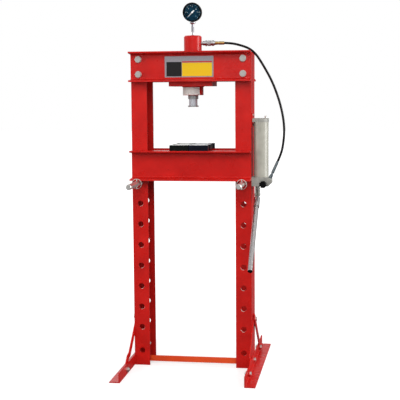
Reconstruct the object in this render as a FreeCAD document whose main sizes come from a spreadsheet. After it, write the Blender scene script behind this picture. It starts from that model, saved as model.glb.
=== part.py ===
import FreeCAD, Part
import math
import os
import re

import Sketcher

# A free-standing workshop press: two channel columns joined by paired top beams, a bed that
# rests on two pins, a cylinder with its ram and gauge, and a hand pump on the right column.
# X runs to the right, -Y is the front, +Z is up. The origin is on the floor, midway between
# the columns. All lengths are in millimetres.

VECTOR = FreeCAD.Vector
RIGHT, LEFT = VECTOR(1, 0, 0), VECTOR(-1, 0, 0)
BACK, FRONT = VECTOR(0, 1, 0), VECTOR(0, -1, 0)
UP = VECTOR(0, 0, 1)

# Driving dimensions: alias, value.
DIMENSIONS = [
    # columns: hot-rolled channels, webs outside, flanges pointing at each other
    ("frame_width", 570), ("column_height", 1495), ("column_depth", 150),
    ("column_flange", 75), ("column_web", 6.5), ("column_tip", 7), ("column_root", 13),
    ("column_fillet", 10), ("toe_fillet", 3),
    # beams and bed rails: a smaller channel, flanges pointing outwards
    ("beam_height", 140), ("beam_flange", 65), ("beam_web", 7), ("beam_tip", 7),
    ("beam_root", 12), ("beam_fillet", 5), ("beam_rise", 10),
    # pin holes in the column flanges
    ("pin_hole_radius", 13.6), ("hole_inset", 37.5), ("pin_pitch", 100),
    ("top_pin_height", 889), ("low_hole_height", 73),
    # bed pins and their ring clips
    ("pin_radius", 13), ("pin_length", 470), ("pin_chamfer", 2.5), ("seat_gap", 0.3),
    ("left_pin_reach", 324), ("right_pin_reach", 273), ("clip_setback", 12),
    ("clip_ring_radius", 23), ("clip_wire_radius", 1.6), ("clip_leg_radius", 2.5),
    ("clip_hole_gap", 0.3),
    # bed
    ("bed_clearance", 0.5), ("spacer_thickness", 10), ("spacer_margin", 12),
    ("spacer_gap", 2), ("arbor_width", 90), ("arbor_length", 244), ("arbor_thickness", 27),
    ("arbor_gap", 1.5), ("arbor_shift", 5), ("arbor_notch", 52), ("arbor_notch_depth", 24),
    ("arbor_slot", 40), ("arbor_slot_depth", 20), ("arbor_slot_place", 62),
    ("arbor_chamfer", 2),
    # beam fasteners
    ("beam_bolt_radius", 9), ("beam_bolt_flats", 27), ("beam_bolt_head", 11.5),
    ("beam_bolt_end", 5), ("beam_nut_height", 15), ("beam_bolt_spread", 70),
    ("beam_hole_radius", 10), ("washer_radius", 15.8), ("washer_thickness", 3),
    ("taper_washer_side", 34), ("taper_washer_edge", 2),
    # feet, braces and spreader
    ("foot_length", 800), ("foot_leg", 50), ("foot_thickness", 5), ("foot_fillet", 4),
    ("foot_bolt_reach", 250), ("foot_bolt_height", 24), ("column_bolt_height", 24),
    ("brace_bolt_height", 225), ("brace_width", 30), ("brace_thickness", 5),
    ("brace_tail", 15), ("brace_round", 14.4), ("brace_head", 25), ("brace_corner", 4),
    ("joggle_start", 68),
    ("joggle_length", 20),
    ("small_bolt_radius", 6), ("small_bolt_flats", 19), ("small_bolt_head", 7.5),
    ("small_nut_height", 10), ("small_bolt_end", 3), ("small_hole_radius", 6.5),
    ("spreader_height", 28), ("spreader_thickness", 5), ("spreader_setback", 34),
    ("spreader_tab", 50), ("spreader_bend", 6),
    # cylinder
    ("plate_width", 204), ("plate_depth", 172), ("plate_thickness", 22),
    ("barrel_radius", 42), ("barrel_bore", 31), ("barrel_rise", 76), ("barrel_head", 20),
    ("barrel_chamfer", 6), ("ring_radius", 49), ("ring_height", 42), ("ring_chamfer", 1.5),
    ("gland_height", 30), ("gland_nose", 18), ("gland_nose_radius", 24.5),
    ("side_port_radius", 8), ("side_port_drop", 36), ("top_port_radius", 5),
    # ram
    ("ram_radius", 20), ("running_fit", 0.05), ("ram_reveal", 31), ("ram_stroke", 150),
    ("piston_margin", 6), ("piston_height", 32), ("piston_gap", 0.5), ("seal_width", 8),
    ("seal_depth", 5), ("spring_bore", 12), ("spring_floor", 26), ("spring_radius", 11),
    ("spring_wire", 3), ("saddle_radius", 25.5), ("saddle_thickness", 6),
    ("saddle_stud_radius", 8), ("saddle_stud_length", 12), ("saddle_chamfer", 1),
    # gauge
    ("adapter_radius", 3), ("adapter_height", 45), ("adapter_tail", 18),
    ("adapter_flange_radius", 7), ("adapter_flange", 3), ("adapter_bevel", 1),
    ("adapter_nut_place", 18), ("adapter_nut_height", 27),
    ("adapter_nut_flats", 12), ("gauge_radius", 45), ("gauge_rise", 64),
    ("gauge_wall", 2.5), ("gauge_back", 16), ("gauge_front", 14), ("bezel_wall", 2),
    ("bezel_reach", 5), ("bezel_lap", 6), ("bezel_lip", 4), ("bezel_bevel", 1.5),
    ("lens_thickness", 2.5),
    ("dial_place", 8), ("dial_thickness", 1), ("dial_hole_radius", 3),
    ("stem_foot_radius", 6), ("stem_foot_height", 8), ("stem_collar_radius", 13.5),
    ("stem_cone_height", 6), ("stem_collar_height", 4.5), ("stem_radius", 5),
    ("movement_width", 18), ("movement_depth", 7), ("movement_rise", 9),
    ("needle_length", 31), ("needle_tail", 11), ("needle_width", 3.2), ("needle_tip", 0.6),
    ("needle_thickness", 0.8), ("needle_gap", 1.5), ("needle_hub_radius", 4),
    ("needle_arbor_radius", 2), ("needle_rest_angle", 225),
    # coupler and hose ends
    ("coupler_insert", 9), ("coupler_thread", 6), ("coupler_neck", 10.5),
    ("coupler_collar_place", 19), ("coupler_collar_length", 7), ("coupler_collar_radius", 14),
    ("coupler_sleeve_place", 29), ("coupler_sleeve_length", 16), ("coupler_radius", 13),
    ("coupler_ring_place", 48), ("coupler_ring_length", 12), ("coupler_mouth_radius", 9),
    ("coupler_mouth_length", 6), ("turned_bevel", 1),
    ("hose_end_length", 43), ("hose_end_radius", 8), ("hose_end_neck", 6.5),
    ("hose_end_collar", 10.5), ("hose_end_groove", 4), ("hose_end_taper", 4),
    ("hose_radius", 5.5), ("fitting_radius", 8), ("fitting_length", 28), ("fitting_neck", 5.5),
    ("fitting_thread_radius", 7), ("fitting_thread", 4), ("fitting_nut", 12.5),
    ("ferrule_length", 58), ("ferrule_radius", 7.2), ("ferrule_taper", 4),
    ("ferrule_mouth_radius", 6.5), ("ferrule_lip", 2), ("ferrule_lip_radius", 5.9),
    ("fitting_lean", 24.3), ("fitting_inset", 8),
    # pump
    ("pump_setback", 40), ("tube_offset", 43), ("tube_radius", 34.5), ("tube_wall", 3),
    ("tube_height", 258), ("cap_thickness", 17), ("cap_overhang", 1.5), ("cap_arm", 56),
    ("spigot_height", 8), ("block_rise", 874), ("block_height", 43), ("block_width", 93),
    ("block_half_depth", 34), ("block_foot", 77), ("block_step", 14), ("block_corner", 22.4),
    ("seat_overhang", 1), ("seat_height", 12), ("plug_radius", 5), ("plug_height", 12),
    ("plug_place", 21), ("plug_top_radius", 3.5), ("plug_top", 3), ("plug_bevel", 1),
    ("bracket_thickness", 4), ("bracket_width", 52), ("bracket_margin", 24),
    ("bracket_bolt_margin", 14), ("pump_bolt_radius", 4),
    ("pump_bolt_flats", 13), ("pump_bolt_head", 4), ("pump_nut_height", 6.5),
    ("pump_hole_radius", 4.5), ("pump_bolt_end", 2), ("block_bolt_spread", 22),
    ("block_bolt_depth", 14),
    # release valve
    ("valve_place", 56), ("valve_height", 11), ("valve_boss_radius", 11),
    ("valve_boss", 6), ("valve_stem_radius", 4), ("valve_depth", 12), ("valve_end_gap", 1),
    ("knob_radius", 16.5),
    ("knob_gap", 4), ("knob_length", 22), ("knob_flute", 3), ("knob_chamfer", 2),
    # plunger and handle
    ("lever_place", 27), ("fulcrum_setback", 20), ("fulcrum_drop", 39),
    ("fulcrum_radius", 5), ("fulcrum_head_radius", 7), ("fulcrum_head", 2),
    ("ear_gap", 9.2), ("ear_thickness", 6), ("ear_half_width", 8.5), ("crank_length", 24),
    ("crank_angle", 25), ("handle_lean", 47), ("plunger_radius", 8),
    ("plunger_reach", 29), ("plunger_bore_depth", 32), ("bore_gap", 0.4),
    ("plunger_gland_radius", 13.5),
    ("plunger_gland_height", 17), ("clevis_width", 18), ("clevis_depth", 12),
    ("clevis_slot", 9), ("clevis_rise", 9), ("clevis_fall", 8), ("clevis_web", 1.5),
    ("cross_pin_radius", 4), ("cross_pin_end", 1), ("cross_pin_clearance", 1.6),
    ("fulcrum_end", 3), ("lever_thickness", 8), ("lever_eye_radius", 8.3),
    ("lever_hub_radius", 11), ("lever_neck", 9), ("lever_root", 11), ("lever_web_root", 17.6),
    ("lever_web", 22), ("socket_start", 20), ("socket_floor", 8), ("socket_length", 58),
    ("socket_radius", 14), ("socket_bevel", 2),
    ("handle_radius", 11), ("handle_wall", 2), ("handle_length", 452),
    ("handle_cap_length", 22), ("handle_cap_end", 2.5), ("handle_cap_bevel", 1),
    # label plate
    ("label_width", 231), ("label_height", 98), ("label_thickness", 1),
    ("label_shift", 5.5), ("label_drop", 1), ("label_corner", 3),
]
PIN_HOLE_ROWS = 8
KNOB_FLUTES = 8

# Free hose: how far it leaves each end straight, and the points chosen along its way down.
HOSE_LEAD, HOSE_TAIL = 42.0, 45.0
HOSE_WAY = [
    (238.0, -3.0, 1531.0), (288.0, -9.0, 1518.0), (325.0, -15.0, 1476.0),
    (350.0, -21.0, 1423.0), (377.0, -26.0, 1369.0), (400.0, -31.0, 1312.0),
    (419.0, -35.0, 1253.0), (431.0, -38.0, 1195.0), (437.0, -39.0, 1138.0),
    (433.0, -40.0, 1082.0),
]

document = FreeCAD.newDocument("hydraulic_press")
sheet = document.addObject("Spreadsheet::Sheet", "dims")
for row, (alias, value) in enumerate(DIMENSIONS, 1):
    sheet.set(f"A{row}", alias)
    sheet.set(f"B{row}", str(value))
    sheet.setAlias(f"B{row}", alias)
document.recompute()
ALIASES = {alias for alias, _ in DIMENSIONS}

# Levels and places worked out from the driving dimensions.
HALF_WIDTH = "(frame_width / 2)"
HALF_DEPTH = "(column_depth / 2)"
FRAME_TOP = "(column_height + beam_rise)"
BEAM_MIDDLE = f"({FRAME_TOP} - beam_height / 2)"
PLATE_BOTTOM = f"({FRAME_TOP} - beam_height - plate_thickness)"
BARREL_BOTTOM = f"({PLATE_BOTTOM} - ring_height)"
BARREL_HEIGHT = "(ring_height + plate_thickness + beam_height + barrel_rise)"
BARREL_TOP = f"({FRAME_TOP} + barrel_rise)"
PORT_HEIGHT = f"({BARREL_TOP} - side_port_drop)"
RAM_BOTTOM = f"({BARREL_BOTTOM} - gland_nose - ram_reveal)"
PISTON_FOOT = "(ram_reveal + gland_nose + gland_height + ram_stroke + piston_margin)"
PISTON_RADIUS = "(barrel_bore - piston_gap)"
SEAL_FOOT = f"({PISTON_FOOT} + piston_height / 2 - seal_width / 2)"
BED_BOTTOM = "(top_pin_height + pin_radius + seat_gap)"
BED_TOP = f"({BED_BOTTOM} + beam_height)"
RAIL_FACE = f"({HALF_DEPTH} + bed_clearance)"
CLIP_PLACE = f"({RAIL_FACE} + beam_flange + clip_setback)"
SPREADER_BOTTOM = "(column_bolt_height - spreader_height / 2)"
BRACE_LENGTH = "sqrt(foot_bolt_reach ^ 2 + (brace_bolt_height - foot_bolt_height) ^ 2)"
GAUGE_FOOT = f"({BARREL_TOP} + adapter_height)"
GAUGE_HEIGHT = f"({GAUGE_FOOT} + gauge_rise)"
CASE_RADIUS = "(gauge_radius - bezel_wall)"
LENS_TOP = "(gauge_front + lens_thickness)"
TUBE_FOOT = "(block_rise + block_height)"
CAP_FOOT = f"({TUBE_FOOT} + tube_height)"
FULCRUM_HEIGHT = "(block_rise - fulcrum_drop)"
CRANK_RISE = "(crank_length * sin(crank_angle))"
PLUNGER_PLACE = "(crank_length * (1 + cos(crank_angle)) / 2 - fulcrum_setback)"
EYE_TURN = "(90 - handle_lean - crank_angle)"
CORNER_DROP = "(block_corner * tan(fitting_lean))"

pieces = {}


def cell(text):
    """Point each dimension's word in an expression at its cell in the sheet."""
    return re.sub(r"[a-z]\w*", lambda found: "dims." + found.group()
                  if found.group() in ALIASES else found.group(), str(text))


def value(text):
    """The number that an expression of dimensions comes to."""
    found = sheet.evalExpression(cell(text))
    return float(getattr(found, "Value", found))


def bind(item, **properties):
    """Tie properties to expressions of dimensions; a double underscore stands for a dot."""
    for name, text in properties.items():
        item.setExpression(name.replace("__", "."), cell(text))


def frame_of(x_way, y_way, z_way):
    """The turn that takes a piece's own X, Y and Z to these directions."""
    return FreeCAD.Rotation(x_way, y_way, z_way, "XYZ")


def place(item, x="0", y="0", z="0", turn=None):
    """Set where a piece goes and how it is turned, and keep it under its name."""
    item.Placement = FreeCAD.Placement(VECTOR(0, 0, 0), turn or FreeCAD.Rotation())
    bind(item, Placement__Base__x=x, Placement__Base__y=y, Placement__Base__z=z)
    pieces[item.Label] = item
    return item


def new_body(label):
    body = document.addObject("PartDesign::Body", label)
    body.Label = label
    return body


def sketch_on(body, plane, offset):
    planes = {item.Role: item for item in body.Origin.OriginFeatures}
    sketch = body.newObject("Sketcher::SketchObject", body.Name + "_sketch")
    sketch.AttachmentSupport = [(planes[plane], "")]
    sketch.MapMode = "FlatFace"
    bind(sketch, AttachmentOffset__Base__z=offset)
    return sketch


def fix_point(sketch, item, end, x, y):
    """Hold a point of a sketch at a place given by two expressions."""
    for kind, text in (("DistanceX", x), ("DistanceY", y)):
        row = sketch.addConstraint(Sketcher.Constraint(kind, -1, 1, item, end, value(text)))
        sketch.setExpression(f"Constraints[{row}]", cell(text))


def outline(body, corners, plane="XY_Plane", offset="0"):
    """A closed outline of straight sides through the corners."""
    sketch = sketch_on(body, plane, offset)
    spots = [VECTOR(value(x), value(y), 0) for x, y in corners]
    count = len(corners)
    for index in range(count):
        sketch.addGeometry(Part.LineSegment(spots[index], spots[(index + 1) % count]), False)
    for index in range(count):
        sketch.addConstraint(Sketcher.Constraint("Coincident", index, 2, (index + 1) % count, 1))
    for index, (x, y) in enumerate(corners):
        fix_point(sketch, index, 1, x, y)
    return sketch


def circles(body, centres, radius, plane="XY_Plane", offset="0"):
    """Equal circles round the centres."""
    sketch = sketch_on(body, plane, offset)
    for x, y in centres:
        item = sketch.addGeometry(
            Part.Circle(VECTOR(value(x), value(y), 0), UP, value(radius)), False)
        row = sketch.addConstraint(Sketcher.Constraint("Radius", item, value(radius)))
        sketch.setExpression(f"Constraints[{row}]", cell(radius))
        fix_point(sketch, item, 3, x, y)
    return sketch


def rectangle(x_low, x_high, y_low, y_high):
    return [(x_low, y_low), (x_high, y_low), (x_high, y_high), (x_low, y_high)]


def hexagon(flats, x="0", y="0"):
    """Corners of a hexagon measured across its flats."""
    return [(f"{x} + {flats} / sqrt(3) * cos({turn})", f"{y} + {flats} / sqrt(3) * sin({turn})")
            for turn in range(0, 360, 60)]


def pad(body, sketch, length):
    """Raise a sketch along its own normal."""
    feature = body.newObject("PartDesign::Pad", body.Name + "_pad")
    feature.Profile = sketch
    bind(feature, Length=length)
    return feature


def cut(body, sketch, depth):
    """Cut a sketch into the piece against its own normal, and see that it removes something."""
    document.recompute()
    before = body.Shape.Volume
    feature = body.newObject("PartDesign::Pocket", body.Name + "_cut")
    feature.Profile = sketch
    bind(feature, Length=depth)
    document.recompute()
    if not body.Shape.Volume < before:
        raise ValueError(f"{body.Label}: a cut removed nothing")
    return feature


def revolve(body, corners, plane="XZ_Plane", axis="V_Axis"):
    """Turn an outline of (radius, height) corners round the piece's own Z axis."""
    sketch = outline(body, corners, plane)
    feature = body.newObject("PartDesign::Revolution", body.Name + "_turned")
    feature.Profile = sketch
    feature.ReferenceAxis = (sketch, [axis])
    feature.Angle = 360
    return feature


def dress(body, kind, size, test):
    """Round or bevel the edges whose middle point passes the test."""
    document.recompute()
    base = body.Tip
    names = [f"Edge{index}" for index, edge in enumerate(base.Shape.Edges, 1)
             if test(edge.CenterOfMass, edge.Length)]
    if not names:
        raise ValueError(f"{body.Label}: no edge to dress")
    feature = body.newObject("PartDesign::" + kind, body.Name + "_" + kind.lower())
    feature.Base = (base, names)
    bind(feature, **{"Radius" if kind == "Fillet" else "Size": size})
    return feature


def close_to(first, second):
    return abs(first - second) < 0.01


def turned_piece(label, corners, x="0", y="0", z="0", turn=None):
    """A piece that is one turning."""
    body = new_body(label)
    revolve(body, corners)
    return place(body, x, y, z, turn)


# ---------------------------------------------------------------- columns, beams, bed rails

def rolled_channel(label, height, flange, web, tip, root, fillet, length):
    """Channel along Z: back of the web on X = 0, flanges towards +X, inner faces tapered."""
    body = new_body(label)
    half = f"({height} / 2)"
    pad(body, outline(body, [
        ("0", f"-{half}"), (flange, f"-{half}"), (flange, f"{tip} - {half}"),
        (web, f"{root} - {half}"), (web, f"{half} - {root}"), (flange, f"{half} - {tip}"),
        (flange, half), ("0", half)]), length)
    web_face, flange_end, reach = value(web), value(flange), value(f"{half} - {tip}")
    span = value(length)
    dress(body, "Fillet", fillet,
          lambda at, size: close_to(at.x, web_face) and close_to(size, span))
    dress(body, "Fillet", "toe_fillet",
          lambda at, _: close_to(at.x, flange_end) and close_to(abs(at.y), reach))
    return body


def column(label, x, turn, side):
    body = rolled_channel(label, "column_depth", "column_flange", "column_web", "column_tip",
                          "column_root", "column_fillet", "column_height")
    rows = [f"top_pin_height - {index} * pin_pitch" for index in range(PIN_HOLE_ROWS)]
    pin_holes = [("hole_inset", height) for height in rows + ["low_hole_height"]]
    cut(body, circles(body, pin_holes, "pin_hole_radius", "XZ_Plane", f"{HALF_DEPTH} + 1"),
        "column_depth + 2")
    bolt_holes = [("hole_inset", f"{BEAM_MIDDLE} {sign} beam_bolt_spread / 2") for sign in "+-"]
    cut(body, circles(body, bolt_holes, "beam_hole_radius", "XZ_Plane", f"{HALF_DEPTH} + 1"),
        "column_depth + 2")
    web_holes = [("0", "column_bolt_height"), ("0", "brace_bolt_height")]
    cut(body, circles(body, web_holes, "small_hole_radius", "YZ_Plane", "column_web + 1"),
        "column_web + 2")
    if side == "right":
        cut(body, circles(body, [(f"0 - ({y})", z) for y, z in pump_bolt_places()],
                          "pump_hole_radius", "YZ_Plane", "column_web + 1"), "column_web + 2")
    return place(body, x, turn=turn)


def pump_bolt_places():
    """Y and Z of the bolts that hold the pump's bracket and block to the right column."""
    heights = [f"{CAP_FOOT} + cap_thickness + bracket_bolt_margin",
               f"{CAP_FOOT} - bracket_bolt_margin",
               "block_rise + (block_height + block_bolt_spread) / 2",
               "block_rise + (block_height - block_bolt_spread) / 2"]
    return [("0 - pump_setback", height) for height in heights]


def beam(label, y, z, side, bolted):
    body = rolled_channel(label, "beam_height", "beam_flange", "beam_web", "beam_tip",
                          "beam_root", "beam_fillet", "frame_width")
    if bolted:
        holes = [(f"{sign} beam_bolt_spread / 2", end) for sign in "+-"
                 for end in ("hole_inset", "frame_width - hole_inset")]
        cut(body, circles(body, holes, "beam_hole_radius", "YZ_Plane", "beam_web + 1"),
            "beam_web + 2")
    if side == "front":
        return place(body, HALF_WIDTH, f"-{y}", z, frame_of(FRONT, UP, LEFT))
    return place(body, f"-{HALF_WIDTH}", y, z, frame_of(BACK, UP, RIGHT))


column("left_column", f"-{HALF_WIDTH}", None, "left")
column("right_column", HALF_WIDTH, FreeCAD.Rotation(UP, 180), "right")
for side in ("front", "rear"):
    beam(f"{side}_top_beam", HALF_DEPTH, BEAM_MIDDLE, side, True)
    beam(f"bed_{side}_rail", RAIL_FACE, f"({BED_BOTTOM} + beam_height / 2)", side, False)


# ---------------------------------------------------------------- bed spacers, arbor plates

def bed_spacers():
    """Two upright plates welded between the rails, just inside the columns."""
    boxes = []
    inner = f"({HALF_WIDTH} - column_flange - spacer_gap)"
    for sign, start in ((-1, f"-{inner}"), (1, f"{inner} - spacer_thickness")):
        box = document.addObject("Part::Box", f"spacer_{'left' if sign < 0 else 'right'}")
        bind(box, Length="spacer_thickness", Width=f"2 * {RAIL_FACE}",
             Height="beam_height - 2 * spacer_margin", Placement__Base__x=start,
             Placement__Base__y=f"-{RAIL_FACE}", Placement__Base__z=f"{BED_BOTTOM} + spacer_margin")
        boxes.append(box)
    group = document.addObject("Part::Compound", "bed_spacers")
    group.Label = "bed_spacers"
    group.Links = boxes
    return place(group)


def arbor_plate(label, side):
    """A thick plate across both rails: a V notch on the inner side, two slots on the outer."""
    body = new_body(label)
    out = 1 if side == "right" else -1
    inner, outer = "0", f"{out} * arbor_width"
    back, front = "arbor_length / 2", "-arbor_length / 2"
    floor = f"{out} * (arbor_width - arbor_slot_depth)"
    slots = [("arbor_slot_place - arbor_slot / 2", "arbor_slot_place + arbor_slot / 2"),
             ("-arbor_slot_place - arbor_slot / 3", "-arbor_slot_place + arbor_slot / 3")]
    corners = [(inner, front), (inner, "-arbor_notch / 2"),
               (f"{out} * arbor_notch_depth", "0"), (inner, "arbor_notch / 2"),
               (inner, back), (outer, back)]
    for low, high in slots:
        corners += [(outer, high), (floor, high), (floor, low), (outer, low)]
    corners.append((outer, front))
    pad(body, outline(body, corners), "arbor_thickness")
    top = value("arbor_thickness")
    dress(body, "Chamfer", "arbor_chamfer", lambda at, _: close_to(at.z, top))
    return place(body, f"{out} * arbor_gap / 2 - arbor_shift", "0", BED_TOP)


bed_spacers()
arbor_plate("left_arbor_plate", "left")
arbor_plate("right_arbor_plate", "right")


# ---------------------------------------------------------------- bed pins and ring clips

ALONG_Y = frame_of(RIGHT, UP * -1, BACK)


def bed_pin(side, x, reach):
    """A round bar along Y with bevelled ends and a cross hole for its clip."""
    body = new_body(f"{side}_bed_pin")
    revolve(body, [("0", "0"), ("pin_radius - pin_chamfer", "0"), ("pin_radius", "pin_chamfer"),
                   ("pin_radius", "pin_length - pin_chamfer"),
                   ("pin_radius - pin_chamfer", "pin_length"), ("0", "pin_length")])
    cut(body, circles(body, [("0", f"{reach} - {CLIP_PLACE}")], "clip_leg_radius + clip_hole_gap",
                      "XZ_Plane", "pin_radius + 1"), "2 * pin_radius + 2")
    return place(body, x, f"-{reach}", "top_pin_height", ALONG_Y)


def pin_clip(side, x):
    """Wire ring round the pin, with the leg that goes through the pin's cross hole."""
    body = new_body(f"{side}_pin_clip")
    revolve(body, [(f"clip_ring_radius + clip_wire_radius * cos({turn})",
                    f"clip_wire_radius * sin({turn})") for turn in range(0, 360, 45)])
    pad(body, circles(body, [("0", "0")], "clip_leg_radius", "XZ_Plane", "-clip_ring_radius"),
        "2 * clip_ring_radius")
    return place(body, x, f"-{CLIP_PLACE}", "top_pin_height", ALONG_Y)


for side, pin_x, reach in (("left", f"hole_inset - {HALF_WIDTH}", "left_pin_reach"),
                           ("right", f"{HALF_WIDTH} - hole_inset", "right_pin_reach")):
    bed_pin(side, pin_x, reach)
    pin_clip(side, pin_x)


# ---------------------------------------------------------------- feet, braces, spreader

def foot(label, x, y, out, along):
    """Angle iron: own X outwards, own Y up, own Z along the floor."""
    body = new_body(label)
    pad(body, outline(body, [
        ("0", "0"), ("foot_leg", "0"), ("foot_leg", "foot_thickness"),
        ("foot_thickness", "foot_thickness"), ("foot_thickness", "foot_leg"),
        ("0", "foot_leg")]), "foot_length")
    wall, leg = value("foot_thickness"), value("foot_leg")
    dress(body, "Fillet", "foot_fillet", lambda at, _: close_to(at.x, wall) and close_to(at.y, wall))
    dress(body, "Fillet", "toe_fillet",
          lambda at, length: length > leg and ((close_to(at.x, leg) and close_to(at.y, wall))
                                               or (close_to(at.x, wall) and close_to(at.y, leg))))
    holes = [("foot_bolt_height", f"foot_length / 2 {sign} foot_bolt_reach") for sign in "+-"]
    holes.append(("column_bolt_height", "foot_length / 2"))
    cut(body, circles(body, holes, "small_hole_radius", "YZ_Plane", "foot_thickness + 1"),
        "foot_thickness + 2")
    return place(body, x, y, "0", frame_of(out, UP, along))


def brace(side, sign, end):
    """Flat bar from the foot up to the column; the front one steps in to lie on the web."""
    body = new_body(f"{side}_{end}_brace")
    thick, step = "brace_thickness", "foot_thickness"
    tail, head = "-brace_tail", f"{BRACE_LENGTH} + brace_head"
    if end == "front":
        turn_in, turn_out = "joggle_start", "(joggle_start + joggle_length)"
        side_view = [(tail, step), (turn_in, step), (turn_out, "0"), (head, "0"), (head, thick),
                     (turn_out, thick), (turn_in, f"{step} + {thick}"), (tail, f"{step} + {thick}")]
    else:
        side_view = rectangle(tail, head, step, f"{step} + {thick}")
    pad(body, outline(body, side_view, "XY_Plane", "-brace_width / 2"), "brace_width")
    cut(body, circles(body, [("0", "0"), (BRACE_LENGTH, "0")], "small_hole_radius", "XZ_Plane",
                      "1"), f"{step} + {thick} + 2")
    low, high, half = value(tail), value(head), value("brace_width / 2")
    dress(body, "Fillet", "brace_round",
          lambda at, _: close_to(abs(at.z), half) and close_to(at.x, low))
    dress(body, "Fillet", "brace_corner",
          lambda at, _: close_to(abs(at.z), half) and close_to(at.x, high))
    way = 1 if end == "front" else -1
    slope = math.atan2(value("brace_bolt_height - foot_bolt_height"), value("foot_bolt_reach"))
    along = VECTOR(0, way * math.cos(slope), math.sin(slope))
    out = VECTOR(sign, 0, 0)
    return place(body, f"{sign} * {HALF_WIDTH}", f"{-way} * foot_bolt_reach", "foot_bolt_height",
                 frame_of(along, out, along.cross(out)))


def spreader():
    """Flat bar low between the columns, its ends bent back and bolted to the webs."""
    body = new_body("spreader_bar")
    edge = f"({HALF_WIDTH} - column_web)"
    front, thick = "-spreader_setback", "spreader_thickness"
    back = "(spreader_tab - spreader_setback)"
    pad(body, outline(body, [
        (f"-{edge}", front), (edge, front), (edge, back), (f"{edge} - {thick}", back),
        (f"{edge} - {thick}", f"{front} + {thick}"), (f"{thick} - {edge}", f"{front} + {thick}"),
        (f"{thick} - {edge}", back), (f"-{edge}", back)]), "spreader_height")
    reach, face = value(edge), value(front)
    dress(body, "Fillet", "spreader_bend",
          lambda at, _: close_to(abs(at.x), reach) and close_to(at.y, face))
    cut(body, circles(body, [("0", "spreader_height / 2")], "small_hole_radius", "YZ_Plane",
                      f"{edge} + 1"), f"2 * {edge} + 2")
    return place(body, z=SPREADER_BOTTOM)


foot("left_foot", f"-{HALF_WIDTH}", "-foot_length / 2", LEFT, BACK)
foot("right_foot", HALF_WIDTH, "foot_length / 2", RIGHT, FRONT)
for side, sign in (("left", -1), ("right", 1)):
    for end in ("front", "rear"):
        brace(side, sign, end)
spreader()


# ---------------------------------------------------------------- bolts, nuts and washers

def prism(flats, height):
    """A hexagonal prism standing on the XY plane."""
    corners = [VECTOR(value(flats) / math.sqrt(3) * math.cos(math.radians(turn)),
                      value(flats) / math.sqrt(3) * math.sin(math.radians(turn)), 0)
               for turn in range(0, 361, 60)]
    return Part.Face(Part.makePolygon(corners)).extrude(VECTOR(0, 0, value(height)))


def bolt(flats, head, radius, length):
    """Hexagon bolt: the head stands on the XY plane and the shank hangs below it."""
    shank = Part.makeCylinder(value(radius), value(length), VECTOR(0, 0, -value(length)))
    return prism(flats, head).fuse(shank).removeSplitter()


def nut(flats, height, radius):
    return prism(flats, height).cut(Part.makeCylinder(value(radius), value(height)))


def washer(radius, hole, height):
    return Part.makeCylinder(value(radius), value(height)).cut(
        Part.makeCylinder(value(hole), value(height)))


def flange_thickness(inset):
    """Thickness of a column flange at a distance from the back of its web."""
    slope = "(column_root - column_tip) / (column_flange - column_web)"
    return f"(column_root - {slope} * ({inset} - column_web))"


TAPER_SEAT = f"({flange_thickness('hole_inset - taper_washer_side / 2')} + taper_washer_edge)"


def taper_washer():
    """Square wedge: the sloping face lies on the flange, the flat one carries the nut."""
    near, far = "-taper_washer_side / 2", "taper_washer_side / 2"
    corners = [VECTOR(value(x), 0, value(f"{flange_thickness(f'(hole_inset + {x})')} - {TAPER_SEAT}"))
               for x in (near, far)] + [VECTOR(value(far), 0, 0), VECTOR(value(near), 0, 0)]
    side = value("taper_washer_side")
    wedge = Part.Face(Part.makePolygon(corners + corners[:1])).extrude(VECTOR(0, side, 0))
    wedge.translate(VECTOR(0, -side / 2, 0))
    hole = Part.makeCylinder(value("beam_hole_radius"), side, VECTOR(0, 0, -side / 2))
    return wedge.cut(hole)


def copies(shape, spots):
    """One copy of a shape for each (x, y, z, turn)."""
    made = []
    for x, y, z, turn in spots:
        copy = shape.copy()
        copy.Placement = FreeCAD.Placement(VECTOR(x, y, z), turn)
        made.append(copy)
    return made


def group(label, shapes):
    """Loose pieces of one kind kept together under one name."""
    item = document.addObject("Part::Feature", label)
    item.Label = label
    item.Shape = Part.makeCompound(shapes)
    return place(item)


def beam_fasteners():
    """Eight bolts through beam web and column flange, each with its washers and nut."""
    outer = value(f"{HALF_DEPTH} + beam_web")
    inner = value(f"{HALF_DEPTH} - {TAPER_SEAT}")
    washer_height, nut_height = value("washer_thickness"), value("beam_nut_height")
    heads, plain, wedges, nuts = [], [], [], []
    for across in (-1, 1):
        for way in (-1, 1):
            for height in (f"{BEAM_MIDDLE} - beam_bolt_spread / 2",
                           f"{BEAM_MIDDLE} + beam_bolt_spread / 2"):
                x, z = across * value(f"{HALF_WIDTH} - hole_inset"), value(height)
                out = VECTOR(0, way, 0)
                inward = VECTOR(-across, 0, 0)
                turn = frame_of(inward, out.cross(inward), out)
                heads.append((x, way * (outer + washer_height), z, turn))
                plain.append((x, way * outer, z, turn))
                wedges.append((x, way * inner, z, frame_of(inward, inward.cross(out), out * -1)))
                nuts.append((x, way * (inner - nut_height), z, turn))
    length = f"washer_thickness + beam_web + {TAPER_SEAT} + beam_nut_height + beam_bolt_end"
    group("beam_bolts", copies(
        bolt("beam_bolt_flats", "beam_bolt_head", "beam_bolt_radius", length), heads))
    group("beam_nuts", copies(nut("beam_bolt_flats", "beam_nut_height", "beam_bolt_radius"), nuts))
    group("beam_washers",
          copies(washer("washer_radius", "beam_bolt_radius", "washer_thickness"), plain)
          + copies(upright_taper(), wedges))


def upright_taper():
    """The wedge turned so that its flat face is on the XY plane and it rises towards the flange."""
    wedge = taper_washer()
    wedge.rotate(VECTOR(0, 0, 0), VECTOR(1, 0, 0), 180)
    return wedge


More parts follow.
